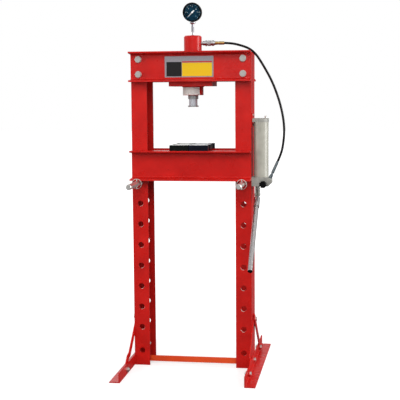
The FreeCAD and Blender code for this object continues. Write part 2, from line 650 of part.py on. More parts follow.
def foot_fasteners():
    """Bolts along X: foot to column to spreader, brace tops, and brace ends to the feet."""
    bolts, nuts = [], []
    nut_height = value("small_nut_height")
    half = value(HALF_WIDTH)
    web, thick = value("column_web"), value("brace_thickness")
    foot_wall, spreader_wall = value("foot_thickness"), value("spreader_thickness")
    reach = value("foot_bolt_reach")
    rows = [(0, value("column_bolt_height"), foot_wall, -web - spreader_wall),
            (0, value("brace_bolt_height"), foot_wall + thick, -web),
            (-reach, value("foot_bolt_height"), foot_wall + thick, 0),
            (reach, value("foot_bolt_height"), foot_wall + thick, 0)]
    for across in (-1, 1):
        out = VECTOR(across, 0, 0)
        turn = frame_of(BACK, out.cross(BACK), out)
        for y, z, outer, inner in rows:
            grip = outer - inner
            shape = bolt("small_bolt_flats", "small_bolt_head", "small_bolt_radius",
                         f"{grip} + small_nut_height + small_bolt_end")
            bolts += copies(shape, [(across * (half + outer), y, z, turn)])
            nuts.append((across * (half + inner - nut_height), y, z, turn))
    group("foot_bolts", bolts)
    group("foot_nuts", copies(nut("small_bolt_flats", "small_nut_height", "small_bolt_radius"), nuts))


def pump_fasteners():
    """Bracket bolts with their heads outside, and block bolts driven from inside the column."""
    half, web = value(HALF_WIDTH), value("column_web")
    bracket, depth = value("bracket_thickness"), value("block_bolt_depth")
    spots = [(value(y), value(z)) for y, z in pump_bolt_places()]
    outward, inward = frame_of(BACK, UP, RIGHT), frame_of(BACK, UP * -1, LEFT)
    upper = bolt("pump_bolt_flats", "pump_bolt_head", "pump_bolt_radius",
                 f"{web + bracket} + pump_nut_height + pump_bolt_end")
    lower = bolt("pump_bolt_flats", "pump_bolt_head", "pump_bolt_radius", f"{web + depth}")
    shapes = copies(upper, [(half + bracket, y, z, outward) for y, z in spots[:2]])
    shapes += copies(lower, [(half - web, y, z, inward) for y, z in spots[2:]])
    nut_place = half - web - value("pump_nut_height")
    shapes += copies(nut("pump_bolt_flats", "pump_nut_height", "pump_bolt_radius"),
                     [(nut_place, y, z, outward) for y, z in spots[:2]])
    group("pump_bolts", shapes)


beam_fasteners()
foot_fasteners()
pump_fasteners()


# ---------------------------------------------------------------- cylinder and ram

def cylinder_plate():
    body = new_body("cylinder_plate")
    pad(body, outline(body, rectangle("-plate_width / 2", "plate_width / 2",
                                      "-plate_depth / 2", "plate_depth / 2")), "plate_thickness")
    cut(body, circles(body, [("0", "0")], "barrel_radius", "XY_Plane", "plate_thickness + 1"),
        "plate_thickness + 2")
    return place(body, z=PLATE_BOTTOM)


def cylinder_barrel():
    """A cup turned upside down, with a port on its right side and one in its head."""
    body = new_body("cylinder_barrel")
    ceiling = f"{BARREL_HEIGHT} - barrel_head"
    revolve(body, [
        ("barrel_bore", "0"), ("barrel_radius", "0"),
        ("barrel_radius", f"{BARREL_HEIGHT} - barrel_chamfer"),
        ("barrel_radius - barrel_chamfer", BARREL_HEIGHT), ("0", BARREL_HEIGHT),
        ("0", ceiling), ("barrel_bore", ceiling)])
    cut(body, circles(body, [("0", f"{BARREL_HEIGHT} - side_port_drop")], "side_port_radius",
                      "YZ_Plane", "barrel_radius + 1"), "barrel_radius - barrel_bore + 2")
    cut(body, circles(body, [("0", "0")], "top_port_radius", "XY_Plane", f"{BARREL_HEIGHT} + 1"),
        "barrel_head + 2")
    return place(body, z=BARREL_BOTTOM)


cylinder_plate()
cylinder_barrel()
turned_piece("cylinder_ring", [
    ("barrel_radius", "0"), ("ring_radius - ring_chamfer", "0"), ("ring_radius", "ring_chamfer"),
    ("ring_radius", "ring_height"), ("barrel_radius", "ring_height")], z=BARREL_BOTTOM)
turned_piece("gland_bush", [
    ("ram_radius + running_fit", "-gland_nose"), ("gland_nose_radius", "-gland_nose"),
    ("gland_nose_radius", "0"), ("barrel_bore", "0"), ("barrel_bore", "gland_height"),
    ("ram_radius + running_fit", "gland_height")], z=BARREL_BOTTOM)
turned_piece("ram", [
    ("saddle_stud_radius", "0"), ("ram_radius", "0"), ("ram_radius", PISTON_FOOT),
    (PISTON_RADIUS, PISTON_FOOT), (PISTON_RADIUS, SEAL_FOOT),
    (f"{PISTON_RADIUS} - seal_depth", SEAL_FOOT),
    (f"{PISTON_RADIUS} - seal_depth", f"{SEAL_FOOT} + seal_width"),
    (PISTON_RADIUS, f"{SEAL_FOOT} + seal_width"),
    (PISTON_RADIUS, f"{PISTON_FOOT} + piston_height"),
    ("spring_bore", f"{PISTON_FOOT} + piston_height"), ("spring_bore", "spring_floor"),
    ("0", "spring_floor"), ("0", "saddle_stud_length"),
    ("saddle_stud_radius", "saddle_stud_length")], z=RAM_BOTTOM)
turned_piece("piston_seal", [
    (f"{PISTON_RADIUS} - seal_depth", "0"), ("barrel_bore - running_fit", "0"),
    ("barrel_bore - running_fit", "seal_width"),
    (f"{PISTON_RADIUS} - seal_depth", "seal_width")], z=f"{RAM_BOTTOM} + {SEAL_FOOT}")
turned_piece("ram_saddle", [
    ("0", "0"), ("saddle_radius - saddle_chamfer", "0"), ("saddle_radius", "saddle_chamfer"),
    ("saddle_radius", "saddle_thickness"), ("saddle_stud_radius", "saddle_thickness"),
    ("saddle_stud_radius", "saddle_thickness + saddle_stud_length"),
    ("0", "saddle_thickness + saddle_stud_length")], z=f"{RAM_BOTTOM} - saddle_thickness")
SPRING_LENGTH = f"({BARREL_TOP} - barrel_head - {RAM_BOTTOM} - spring_floor)"
turned_piece("return_spring", [
    ("spring_radius - spring_wire", "0"), ("spring_radius", "0"),
    ("spring_radius", SPRING_LENGTH), ("spring_radius - spring_wire", SPRING_LENGTH)],
    z=f"{RAM_BOTTOM} + spring_floor")


# ---------------------------------------------------------------- gauge

def gauge_adapter():
    """Turned stem screwed into the cylinder's head, with a hexagon for the spanner."""
    body = new_body("gauge_adapter")
    revolve(body, [
        ("0", "-adapter_tail"), ("top_port_radius", "-adapter_tail"),
        ("top_port_radius", "0"), ("adapter_flange_radius", "0"),
        ("adapter_flange_radius", "adapter_flange"),
        ("adapter_radius", "adapter_flange + adapter_bevel"),
        ("adapter_radius", "adapter_height"), ("0", "adapter_height")])
    pad(body, outline(body, hexagon("adapter_nut_flats"), "XY_Plane", "adapter_nut_place"),
        "adapter_nut_height")
    return place(body, z=BARREL_TOP)


def gauge_stem():
    """The gauge's threaded foot, collar and stem, with the block that carries the arbor."""
    body = new_body("gauge_stem")
    collar = "stem_foot_height + stem_cone_height"
    revolve(body, [
        ("0", "0"), ("stem_foot_radius", "0"), ("stem_foot_radius", "stem_foot_height"),
        ("stem_collar_radius", collar), ("stem_collar_radius", f"{collar} + stem_collar_height"),
        ("stem_radius", f"{collar} + stem_collar_height"),
        ("stem_radius", "gauge_rise - movement_width"), ("0", "gauge_rise - movement_width")])
    pad(body, outline(body, rectangle(
        "-movement_width / 2", "movement_width / 2", "-movement_depth / 2", "movement_depth / 2"),
        "XY_Plane", "gauge_rise - movement_width - movement_rise"),
        "movement_width + 2 * movement_rise")
    cut(body, circles(body, [("0", "gauge_rise")], "needle_arbor_radius + running_fit", "XZ_Plane",
                      "movement_depth / 2 + 1"), "movement_depth + 2")
    return place(body, z=GAUGE_FOOT)


GAUGE_TURN = frame_of(RIGHT, UP, FRONT)


def gauge_case():
    body = new_body("gauge_case")
    wall = f"{CASE_RADIUS} - gauge_wall"
    revolve(body, [
        ("0", "-gauge_back"), (CASE_RADIUS, "-gauge_back"), (CASE_RADIUS, "gauge_front"),
        (wall, "gauge_front"), (wall, "gauge_wall - gauge_back"),
        ("0", "gauge_wall - gauge_back")])
    cut(body, circles(body, [("0", "0")], "stem_radius", "XZ_Plane", f"{CASE_RADIUS} + 1"),
        "2 * gauge_wall + 1")
    return place(body, z=GAUGE_HEIGHT, turn=GAUGE_TURN)


def gauge_needle():
    """Pointer with a broad tail and a hub, on the arbor that turns in the stem's block."""
    body = new_body("gauge_needle")
    foot_level = "dial_place + dial_thickness + needle_gap"
    pad(body, circles(body, [("0", "0")], "needle_arbor_radius", "XY_Plane",
                      "-movement_depth / 2"),
        f"movement_depth / 2 + {foot_level} + 1")
    pad(body, circles(body, [("0", "0")], "needle_hub_radius", "XY_Plane", foot_level),
        "2 * needle_thickness")
    pad(body, outline(body, [
        ("-needle_tail", "-needle_width"), ("0", "-needle_width / 2"),
        ("needle_length", "-needle_tip / 2"), ("needle_length", "needle_tip / 2"),
        ("0", "needle_width / 2"), ("-needle_tail", "needle_width")],
        "XY_Plane", foot_level), "needle_thickness")
    turn = GAUGE_TURN.multiply(FreeCAD.Rotation(UP, value("needle_rest_angle")))
    return place(body, z=GAUGE_HEIGHT, turn=turn)


gauge_adapter()
gauge_stem()
gauge_case()
turned_piece("gauge_bezel", [
    (CASE_RADIUS, "gauge_front - bezel_lap"), ("gauge_radius", "gauge_front - bezel_lap"),
    ("gauge_radius", "gauge_front + bezel_reach - bezel_bevel"),
    ("gauge_radius - bezel_bevel", "gauge_front + bezel_reach"),
    (f"{CASE_RADIUS} - bezel_lip", "gauge_front + bezel_reach"),
    (f"{CASE_RADIUS} - bezel_lip", LENS_TOP), (CASE_RADIUS, LENS_TOP)],
    z=GAUGE_HEIGHT, turn=GAUGE_TURN)
turned_piece("gauge_dial", [
    ("dial_hole_radius", "dial_place"), (f"{CASE_RADIUS} - gauge_wall", "dial_place"),
    (f"{CASE_RADIUS} - gauge_wall", "dial_place + dial_thickness"),
    ("dial_hole_radius", "dial_place + dial_thickness")], z=GAUGE_HEIGHT, turn=GAUGE_TURN)
turned_piece("gauge_lens", [
    ("0", "gauge_front"), (CASE_RADIUS, "gauge_front"), (CASE_RADIUS, LENS_TOP),
    ("0", LENS_TOP)], z=GAUGE_HEIGHT, turn=GAUGE_TURN)
gauge_needle()


# ---------------------------------------------------------------- coupler, hose and fittings

ALONG_X = frame_of(BACK, UP, RIGHT)
COLLAR_END = "(coupler_collar_place + coupler_collar_length)"
SLEEVE_END = "(coupler_sleeve_place + coupler_sleeve_length)"
RING_END = "(coupler_ring_place + coupler_ring_length)"
COUPLER_LENGTH = f"({RING_END} + coupler_mouth_length)"


def band(start, end, radius, bevel="turned_bevel"):
    """Corners of a turned band with bevelled shoulders."""
    return [(f"{radius} - {bevel}", start), (radius, f"{start} + {bevel}"),
            (radius, f"{end} - {bevel}"), (f"{radius} - {bevel}", end)]


turned_piece("quick_coupler", [
    ("0", "-coupler_insert"), ("side_port_radius", "-coupler_insert"),
    ("side_port_radius", "coupler_thread"), ("coupler_neck", "coupler_thread"),
    ("coupler_neck", "coupler_collar_place"),
    *band("coupler_collar_place", COLLAR_END, "coupler_collar_radius"),
    ("coupler_neck", COLLAR_END), ("coupler_neck", "coupler_sleeve_place"),
    *band("coupler_sleeve_place", SLEEVE_END, "coupler_radius"),
    ("coupler_neck", SLEEVE_END), ("coupler_neck", "coupler_ring_place"),
    *band("coupler_ring_place", RING_END, "coupler_radius"),
    ("coupler_mouth_radius", RING_END), ("coupler_mouth_radius", COUPLER_LENGTH),
    ("0", COUPLER_LENGTH)], "barrel_radius", "0", PORT_HEIGHT, ALONG_X)
turned_piece("hose_end", [
    ("0", "0"), ("hose_end_radius", "0"), ("hose_end_radius", "hose_end_collar"),
    ("hose_end_neck", "hose_end_collar"), ("hose_end_neck", "hose_end_collar + hose_end_groove"),
    ("hose_end_radius", "hose_end_collar + hose_end_groove"),
    ("hose_end_radius", "hose_end_length - hose_end_taper"), ("hose_end_neck", "hose_end_length"),
    ("0", "hose_end_length")], f"barrel_radius + {COUPLER_LENGTH}", "0", PORT_HEIGHT, ALONG_X)

CORNER_OUT = VECTOR(math.sin(math.radians(value("fitting_lean"))), 0,
                    math.cos(math.radians(value("fitting_lean"))))
CORNER_SIDE = VECTOR(CORNER_OUT.z, 0, -CORNER_OUT.x)
FITTING_TURN = frame_of(CORNER_SIDE, CORNER_OUT.cross(CORNER_SIDE), CORNER_OUT)
FITTING_X = f"({HALF_WIDTH} + block_width - fitting_inset)"
FITTING_Z = f"({TUBE_FOOT} - (block_corner - fitting_inset) * tan(fitting_lean))"
turned_piece("pump_outlet_fitting", [
    ("0", "0"), ("fitting_thread_radius", "0"), ("fitting_thread_radius", "fitting_thread"),
    ("fitting_radius", "fitting_thread"), ("fitting_radius", "fitting_thread + fitting_nut"),
    ("fitting_neck", "fitting_thread + fitting_nut"), ("fitting_neck", "fitting_length"),
    ("0", "fitting_length")], FITTING_X, "-pump_setback", FITTING_Z, FITTING_TURN)
FERRULE_END = "(fitting_length + ferrule_length)"
turned_piece("hose_ferrule", [
    ("0", "fitting_length"), ("ferrule_radius - turned_bevel", "fitting_length"),
    ("ferrule_radius", "fitting_length + ferrule_taper"),
    ("ferrule_mouth_radius", f"{FERRULE_END} - ferrule_lip"),
    ("ferrule_lip_radius", FERRULE_END), ("0", FERRULE_END)],
    FITTING_X, "-pump_setback", FITTING_Z, FITTING_TURN)


def hose():
    """Straight runs joined by tangent arcs, each as large as its two runs allow."""
    upper = VECTOR(value(f"barrel_radius + {COUPLER_LENGTH} + hose_end_length"), 0,
                   value(PORT_HEIGHT))
    lower = VECTOR(value(FITTING_X), -value("pump_setback"), value(FITTING_Z))
    lower += CORNER_OUT * value(FERRULE_END)
    points = [upper, upper + RIGHT * HOSE_LEAD]
    points += [VECTOR(*point) for point in HOSE_WAY]
    points += [lower + CORNER_OUT * HOSE_TAIL, lower]
    edges, start, length = [], points[0], 0.0
    for before, corner, after in zip(points, points[1:], points[2:]):
        back, ahead = before - corner, after - corner
        half_turn = (math.pi - back.getAngle(ahead)) / 2
        shorter = min(back.Length, ahead.Length)
        radius = 0.45 * shorter / math.tan(half_turn)
        trim = 0.45 * shorter
        back.normalize()
        ahead.normalize()
        enter, leave = corner + back * trim, corner + ahead * trim
        middle = (back + ahead).normalize()
        crown = corner + middle * (radius / math.cos(half_turn) - radius)
        edges += [Part.LineSegment(start, enter).toShape(), Part.Arc(enter, crown, leave).toShape()]
        length += (enter - start).Length + 2 * half_turn * radius
        start = leave
        print(f"hose corner radius {radius:.0f} mm")
    edges.append(Part.LineSegment(start, points[-1]).toShape())
    length += (points[-1] - start).Length
    section = Part.Wire(Part.Circle(points[0], points[1] - points[0], value("hose_radius")).toShape())
    item = document.addObject("Part::Feature", "hose")
    item.Label = "hose"
    item.Shape = Part.Wire(edges).makePipeShell([section], True, False)
    expected = math.pi * value("hose_radius") ** 2 * length
    print(f"hose length {length:.1f} mm, volume ratio {item.Shape.Volume / expected:.4f}")
    return place(item)


hose()


# ---------------------------------------------------------------- hand pump

PUMP = {"x": HALF_WIDTH, "y": "-pump_setback"}


def pump_body():
    """Cast block: valve boss in front, tube seat on top, ears for the fulcrum below."""
    body = new_body("pump_body")
    pad(body, outline(body, [
        ("0", "0"), ("block_foot", "0"), ("block_width", "block_step"),
        ("block_width", f"block_height - {CORNER_DROP}"),
        ("block_width - block_corner", "block_height"), ("0", "block_height")],
        "XZ_Plane", "-block_half_depth"), "2 * block_half_depth")
    pad(body, circles(body, [("tube_offset", "0")], "tube_radius + seat_overhang", "XY_Plane",
                      "block_height - seat_height"), "seat_height")
    pad(body, circles(body, [("tube_offset", "0")], "tube_radius - tube_wall", "XY_Plane",
                      "block_height"), "spigot_height")
    pad(body, circles(body, [("valve_place", "valve_height")], "valve_boss_radius", "XZ_Plane",
                      "block_half_depth"), "valve_boss")
    half, drop = "ear_half_width", "fulcrum_drop"
    ear = [(f"-fulcrum_setback {side} {half} {scale}", level) for side, scale, level in (
        ("-", "", "4"), ("-", "", f"-{drop}"), ("-", "/ 2", f"-{drop} - {half}"),
        ("+", "/ 2", f"-{drop} - {half}"), ("+", "", f"-{drop}"), ("+", "", "4"))]
    for start in ("lever_place - ear_gap / 2 - ear_thickness", "lever_place + ear_gap / 2"):
        pad(body, outline(body, ear, "YZ_Plane", start), "ear_thickness")
    cut(body, circles(body, [("-fulcrum_setback", f"-{drop}")], "fulcrum_radius", "YZ_Plane",
                      "lever_place + ear_gap / 2 + ear_thickness + 1"),
        "ear_gap + 2 * ear_thickness + 2")
    cut(body, circles(body, [("lever_place", PLUNGER_PLACE)], "plunger_radius + bore_gap",
                      "XY_Plane", "plunger_bore_depth"), "plunger_bore_depth + 1")
    cut(body, circles(body, [("valve_place", "valve_height")], "valve_stem_radius + running_fit",
                      "XZ_Plane", "block_half_depth + valve_boss + 1"), "valve_depth + 1")
    bolt_holes = [("0", f"(block_height {sign} block_bolt_spread) / 2") for sign in "+-"]
    cut(body, circles(body, bolt_holes, "pump_bolt_radius", "YZ_Plane", "block_bolt_depth"),
        "block_bolt_depth + 1")
    return place(body, z="block_rise", **PUMP)


def reservoir():
    """Oil tube between the block and its cap, the cap's arm and the bracket on the column."""
    tube = new_body("reservoir_tube")
    pad(tube, circles(tube, [("0", "0")], "tube_radius"), "tube_height")
    cut(tube, circles(tube, [("0", "0")], "tube_radius - tube_wall", "XY_Plane",
                      "tube_height + 1"), "tube_height + 2")
    place(tube, f"{HALF_WIDTH} + tube_offset", "-pump_setback", TUBE_FOOT)
    cap = new_body("reservoir_cap")
    pad(cap, outline(cap, rectangle("bracket_thickness", "tube_offset", "-cap_arm / 2",
                                    "cap_arm / 2")), "cap_thickness")
    pad(cap, circles(cap, [("tube_offset", "0")], "tube_radius + cap_overhang"), "cap_thickness")
    pad(cap, circles(cap, [("tube_offset", "0")], "tube_radius - tube_wall", "XY_Plane",
                     "-spigot_height"), "spigot_height")
    top = value("cap_thickness")
    dress(cap, "Chamfer", "cap_overhang / 2", lambda at, length: close_to(at.z, top))
    place(cap, z=CAP_FOOT, **PUMP)
    bracket = new_body("pump_bracket")
    low = f"{CAP_FOOT} - bracket_margin"
    high = f"{CAP_FOOT} + cap_thickness + bracket_margin"
    pad(bracket, outline(bracket, rectangle("-bracket_width / 2", "bracket_width / 2", low, high),
                         "YZ_Plane"), "bracket_thickness")
    holes = [(f"{y} + pump_setback", z) for y, z in pump_bolt_places()[:2]]
    cut(bracket, circles(bracket, holes, "pump_hole_radius", "YZ_Plane", "bracket_thickness + 1"),
        "bracket_thickness + 2")
    place(bracket, **PUMP)
    turned_piece("filler_plug", [
        ("0", "0"), ("plug_radius", "0"), ("plug_radius", "plug_height - plug_top - plug_bevel"),
        ("plug_top_radius", "plug_height - plug_top"), ("plug_top_radius", "plug_height"),
        ("0", "plug_height")],
        f"{HALF_WIDTH} + tube_offset + plug_place", "-pump_setback", f"{CAP_FOOT} + cap_thickness")


def release_knob():
    """Fluted knob on its valve stem, facing the front."""
    body = new_body("release_knob")
    back, front = "knob_gap", "knob_gap + knob_length"
    revolve(body, [
        ("0", "valve_end_gap - valve_depth"), ("valve_stem_radius", "valve_end_gap - valve_depth"),
        ("valve_stem_radius", back), ("knob_radius - knob_chamfer", back),
        ("knob_radius", "knob_gap + knob_chamfer"), ("knob_radius", f"{front} - knob_chamfer"),
        ("knob_radius - knob_chamfer", front), ("0", front)])
    flutes = [(f"(knob_radius + knob_flute / 2) * cos({turn})",
               f"(knob_radius + knob_flute / 2) * sin({turn})")
              for turn in (360 * index / KNOB_FLUTES for index in range(KNOB_FLUTES))]
    cut(body, circles(body, flutes, "knob_flute", "XY_Plane", f"{front} + 1"),
        "knob_length + 2")
    return place(body, f"{HALF_WIDTH} + valve_place",
                 "-pump_setback - block_half_depth - valve_boss", "block_rise + valve_height",
                 GAUGE_TURN)


def plunger():
    """Round plunger with a slotted end that straddles the lever's eye."""
    body = new_body("pump_plunger")
    head = "(clevis_rise + clevis_web)"
    pad(body, circles(body, [("0", "0")], "plunger_radius", "XY_Plane", head),
        f"fulcrum_drop - {CRANK_RISE} + plunger_reach - {head}")
    pad(body, outline(body, rectangle("-clevis_width / 2", "clevis_width / 2", "-clevis_depth / 2",
                                      "clevis_depth / 2"), "XY_Plane", "-clevis_fall"),
        f"clevis_fall + {head}")
    cut(body, outline(body, rectangle("-clevis_slot / 2", "clevis_slot / 2", "-clevis_depth",
                                      "clevis_depth"), "XY_Plane", "clevis_rise"),
        "clevis_rise + clevis_fall + 1")
    cut(body, circles(body, [("0", "0")], "cross_pin_radius", "YZ_Plane", "clevis_width / 2 + 1"),
        "clevis_width + 2")
    return place(body, f"{HALF_WIDTH} + lever_place", f"{PLUNGER_PLACE} - pump_setback",
                 f"{FULCRUM_HEIGHT} + {CRANK_RISE}")


LEAN = math.radians(value("handle_lean"))
HANDLE_WAY = VECTOR(0, -math.sin(LEAN), -math.cos(LEAN))
HANDLE_TURN = frame_of(HANDLE_WAY, RIGHT.cross(HANDLE_WAY), RIGHT)
FULCRUM = {"x": f"{HALF_WIDTH} + lever_place", "y": "-pump_setback - fulcrum_setback",
           "z": FULCRUM_HEIGHT}


def handle_lever():
    """Forged lever: eye at the plunger, hub on the fulcrum, socket for the handle."""
    body = new_body("handle_lever")
    eye = (f"-crank_length * cos({EYE_TURN})", f"crank_length * sin({EYE_TURN})")
    start, thick = "-lever_thickness / 2", "lever_thickness"
    pad(body, circles(body, [("0", "0")], "lever_hub_radius", "XY_Plane", start), thick)
    pad(body, circles(body, [eye], "lever_eye_radius", "XY_Plane", start), thick)
    lean = (f"sin({EYE_TURN})", f"cos({EYE_TURN})")
    neck, root = "lever_neck / 2", "lever_root / 2"
    web_end = "socket_start + socket_floor / 2"
    pad(body, outline(body, [
        (f"{eye[0]} - {neck} * {lean[0]}", f"{eye[1]} - {neck} * {lean[1]}"),
        (f"-{root} * {lean[0]}", f"-{root} * {lean[1]}"),
        (f"{root} * {lean[0]}", f"{root} * {lean[1]}"),
        (f"{eye[0]} + {neck} * {lean[0]}", f"{eye[1]} + {neck} * {lean[1]}")],
        "XY_Plane", start), thick)
    pad(body, outline(body, [
        ("0", "-lever_web_root / 2"), (web_end, "-lever_web / 2"), (web_end, "lever_web / 2"),
        ("0", "lever_web_root / 2")],
        "XY_Plane", start), thick)
    floor, mouth = "socket_start + socket_floor", "socket_start + socket_length"
    revolve(body, [
        ("socket_start", "0"), ("socket_start", "socket_radius - socket_bevel"),
        ("socket_start + socket_bevel", "socket_radius"), (mouth, "socket_radius"),
        (mouth, "handle_radius"), (floor, "handle_radius"), (floor, "0")], "XY_Plane", "H_Axis")
    through = "lever_thickness + 2"
    cut(body, circles(body, [("0", "0")], "fulcrum_radius + running_fit", "XY_Plane",
                      "lever_thickness / 2 + 1"), through)
    cut(body, circles(body, [eye], "cross_pin_radius + cross_pin_clearance", "XY_Plane",
                      "lever_thickness / 2 + 1"), through)
    return place(body, turn=HANDLE_TURN, **FULCRUM)


def pump_handle():
    """Steel tube pushed into the socket, its free end closed by a flanged plug."""
    tube = new_body("pump_handle")
    floor = "(socket_start + socket_floor)"
    pad(tube, circles(tube, [("0", "0")], "handle_radius", "YZ_Plane", floor),
        f"handle_length - {floor}")
    cut(tube, circles(tube, [("0", "0")], "handle_radius - handle_wall", "YZ_Plane",
                      "handle_length + 1"), f"handle_length - {floor} + 2")
    place(tube, turn=HANDLE_TURN, **FULCRUM)
    cap = new_body("handle_cap")
    start, end = "handle_length - handle_cap_length", "handle_length + handle_cap_end"
    bore = "handle_radius - handle_wall"
    revolve(cap, [
        (start, "0"), (start, bore), ("handle_length", bore), ("handle_length", "handle_radius"),
        (f"{end} - handle_cap_bevel", "handle_radius"),
        (end, "handle_radius - handle_cap_bevel"), (end, "0")], "XY_Plane", "H_Axis")
    place(cap, turn=HANDLE_TURN, **FULCRUM)


pump_body()
reservoir()
release_knob()
plunger()
handle_lever()
pump_handle()
turned_piece("plunger_gland", [
    ("plunger_radius + running_fit", "-plunger_gland_height"),
    ("plunger_gland_radius - turned_bevel", "-plunger_gland_height"),
    ("plunger_gland_radius", "turned_bevel - plunger_gland_height"),
    ("plunger_gland_radius", "0"),
    ("plunger_radius + running_fit", "0")], f"{HALF_WIDTH} + lever_place",
    f"{PLUNGER_PLACE} - pump_setback", "block_rise")
PIN_SPAN = "(ear_gap + 2 * ear_thickness)"
turned_piece("fulcrum_pin", [
    ("0", "-fulcrum_head"), ("fulcrum_head_radius", "-fulcrum_head"),
    ("fulcrum_head_radius", "0"), ("fulcrum_radius", "0"),
    ("fulcrum_radius", f"{PIN_SPAN} + fulcrum_end"), ("0", f"{PIN_SPAN} + fulcrum_end")],
    f"{HALF_WIDTH} + lever_place - {PIN_SPAN} / 2",
    FULCRUM["y"], FULCRUM_HEIGHT, ALONG_X)
CROSS_PIN_REACH = "(clevis_width / 2 + cross_pin_end)"
turned_piece("plunger_pin", [
    ("0", f"-{CROSS_PIN_REACH}"), ("cross_pin_radius", f"-{CROSS_PIN_REACH}"),
    ("cross_pin_radius", CROSS_PIN_REACH), ("0", CROSS_PIN_REACH)],
    f"{HALF_WIDTH} + lever_place", f"{PLUNGER_PLACE} - pump_setback",
    f"{FULCRUM_HEIGHT} + {CRANK_RISE}", ALONG_X)


# ---------------------------------------------------------------- label plate

def label_plate():
    body = new_body("label_plate")
    pad(body, outline(body, rectangle("-label_width / 2", "label_width / 2", "-label_height / 2",
                                      "label_height / 2")), "label_thickness")
    half = value("label_height / 2 - label_corner")
    dress(body, "Fillet", "label_corner",
          lambda at, length: close_to(length, value("label_thickness")) and abs(at.y) > half)
    return place(body, "-label_shift", f"-{HALF_DEPTH} - beam_web", f"{BEAM_MIDDLE} - label_drop",
                 GAUGE_TURN)


label_plate()

# ---------------------------------------------------------------- checks and export

document.recompute()
faults = [item.Label for item in document.Objects
          if "Invalid" in item.State or "Error" in item.State]
faults += [name for name, item in pieces.items()
           if item.Shape.isNull() or not item.Shape.isValid() or not item.Shape.Solids]
if faults:
    raise ValueError("these objects failed: " + ", ".join(faults))
os.makedirs("parts", exist_ok=True)
for name, item in pieces.items():
    item.Shape.exportStep(os.path.join("parts", name + ".step"))
print(len(pieces), "pieces written")
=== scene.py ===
# %% [markdown]
# # Dressing a workshop press
#
# The press arrives as a finished set of steel parts in their true places. This notebook gives
# them the surfaces that the real ones have: sprayed red enamel, zinc plating, chrome, blued
# plates and a black rubber hose. It also makes the small shapes that a workshop adds last, such
# as threads, weld beads, dial marks and a knurled coupler. We load the parts first.

import math

import bpy
import numpy as np
from mathutils import Matrix, Vector


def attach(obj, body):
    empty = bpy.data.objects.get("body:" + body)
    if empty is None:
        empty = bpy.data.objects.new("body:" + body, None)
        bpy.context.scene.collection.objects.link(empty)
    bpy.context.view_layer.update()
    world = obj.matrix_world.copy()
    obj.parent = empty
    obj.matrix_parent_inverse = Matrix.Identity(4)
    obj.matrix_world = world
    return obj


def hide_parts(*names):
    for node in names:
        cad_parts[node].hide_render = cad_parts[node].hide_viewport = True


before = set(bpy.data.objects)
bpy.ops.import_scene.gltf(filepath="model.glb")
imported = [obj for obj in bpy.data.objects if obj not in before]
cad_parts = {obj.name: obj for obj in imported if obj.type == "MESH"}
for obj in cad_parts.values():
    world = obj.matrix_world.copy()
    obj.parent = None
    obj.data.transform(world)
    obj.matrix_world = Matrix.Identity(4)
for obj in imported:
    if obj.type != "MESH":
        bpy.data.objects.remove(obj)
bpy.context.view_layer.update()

# %% [markdown]
# ## The camera
#
# The photograph was taken from a little to the right of the press, at about the height of the
# cylinder's ring, looking slightly down. A camera needs three directions: where it looks, its
# right, and its up. We build them from two angles and a small roll, so that each number can be
# read as what it is. The focal length was fitted in pixels, and the sensor's width turns it into
# millimetres.

# %% Place the camera
YAW, PITCH, ROLL = 0.1563, 0.1047, -0.0074
STAND = Vector((0.7847575, -4.7969632, 1.3100294))
FOCAL_PIXELS, PHOTO_PIXELS, SENSOR, FAR_CLIP = 1015.4457, 400, 36.0, 100.0

look = Vector((-math.sin(YAW) * math.cos(PITCH), math.cos(YAW) * math.cos(PITCH),
               -math.sin(PITCH)))
level = Vector((math.cos(YAW), math.sin(YAW), 0.0))
above = level.cross(look)
right = level * math.cos(ROLL) + above * math.sin(ROLL)
up = above * math.cos(ROLL) - level * math.sin(ROLL)

lens = bpy.data.cameras.new("photo_camera")
lens.sensor_width = SENSOR
lens.lens = FOCAL_PIXELS / PHOTO_PIXELS * SENSOR
lens.clip_end = FAR_CLIP
camera = bpy.data.objects.new("photo_camera", lens)
bpy.context.scene.collection.objects.link(camera)
camera.matrix_world = Matrix.Translation(STAND) @ Matrix((right, up, -look)).transposed().to_4x4()
bpy.context.scene.camera = camera
print(f"lens {lens.lens:.1f} mm")

# %% [markdown]
# ## The hose
#
# A high-pressure hose is one long flexible tube. It leaves its brass end straight, goes round the
# corner of the top beam, and falls to the pump under its own weight. A NURBS spline is a good
# model for that, because it bends smoothly between a few control points and never shows a kink.
# The bevel's depth times each point's radius gives it the hose's thickness. The depth is 1 and
# the radius is the hose's own, because Blender adds a point's radius to the curve's box.

# %% Lay the hose
HOSE_DIAMETER = 0.011
HOSE_POINTS = [
    (0.1510, 0.000, 1.5450), (0.1840, 0.000, 1.5440), (0.2300, -0.003, 1.5330),
    (0.2720, -0.008, 1.5170), (0.3030, -0.013, 1.4890), (0.3270, -0.018, 1.4530),
    (0.3510, -0.022, 1.4130), (0.3760, -0.026, 1.3670), (0.3990, -0.031, 1.3120),
    (0.4180, -0.035, 1.2540), (0.4310, -0.038, 1.1960), (0.4370, -0.039, 1.1380),
    (0.4330, -0.040, 1.0820), (0.4239, -0.040, 1.0298), (0.4054, -0.040, 0.9889),
]
hose_curve = bpy.data.curves.new("rubber_hose", "CURVE")
hose_curve.dimensions = "3D"
spline = hose_curve.splines.new("NURBS")
spline.points.add(len(HOSE_POINTS) - 1)
for point, place in zip(spline.points, HOSE_POINTS):
    point.co = (*place, 1.0)
    point.radius = HOSE_DIAMETER / 2
spline.order_u = 3
spline.use_endpoint_u = True
spline.resolution_u = 12
hose_curve.bevel_depth = 1.0
hose_curve.bevel_resolution = 5
rubber_hose = bpy.data.objects.new("rubber_hose", hose_curve)
bpy.context.scene.collection.objects.link(rubber_hose)
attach(rubber_hose, "press_frame")
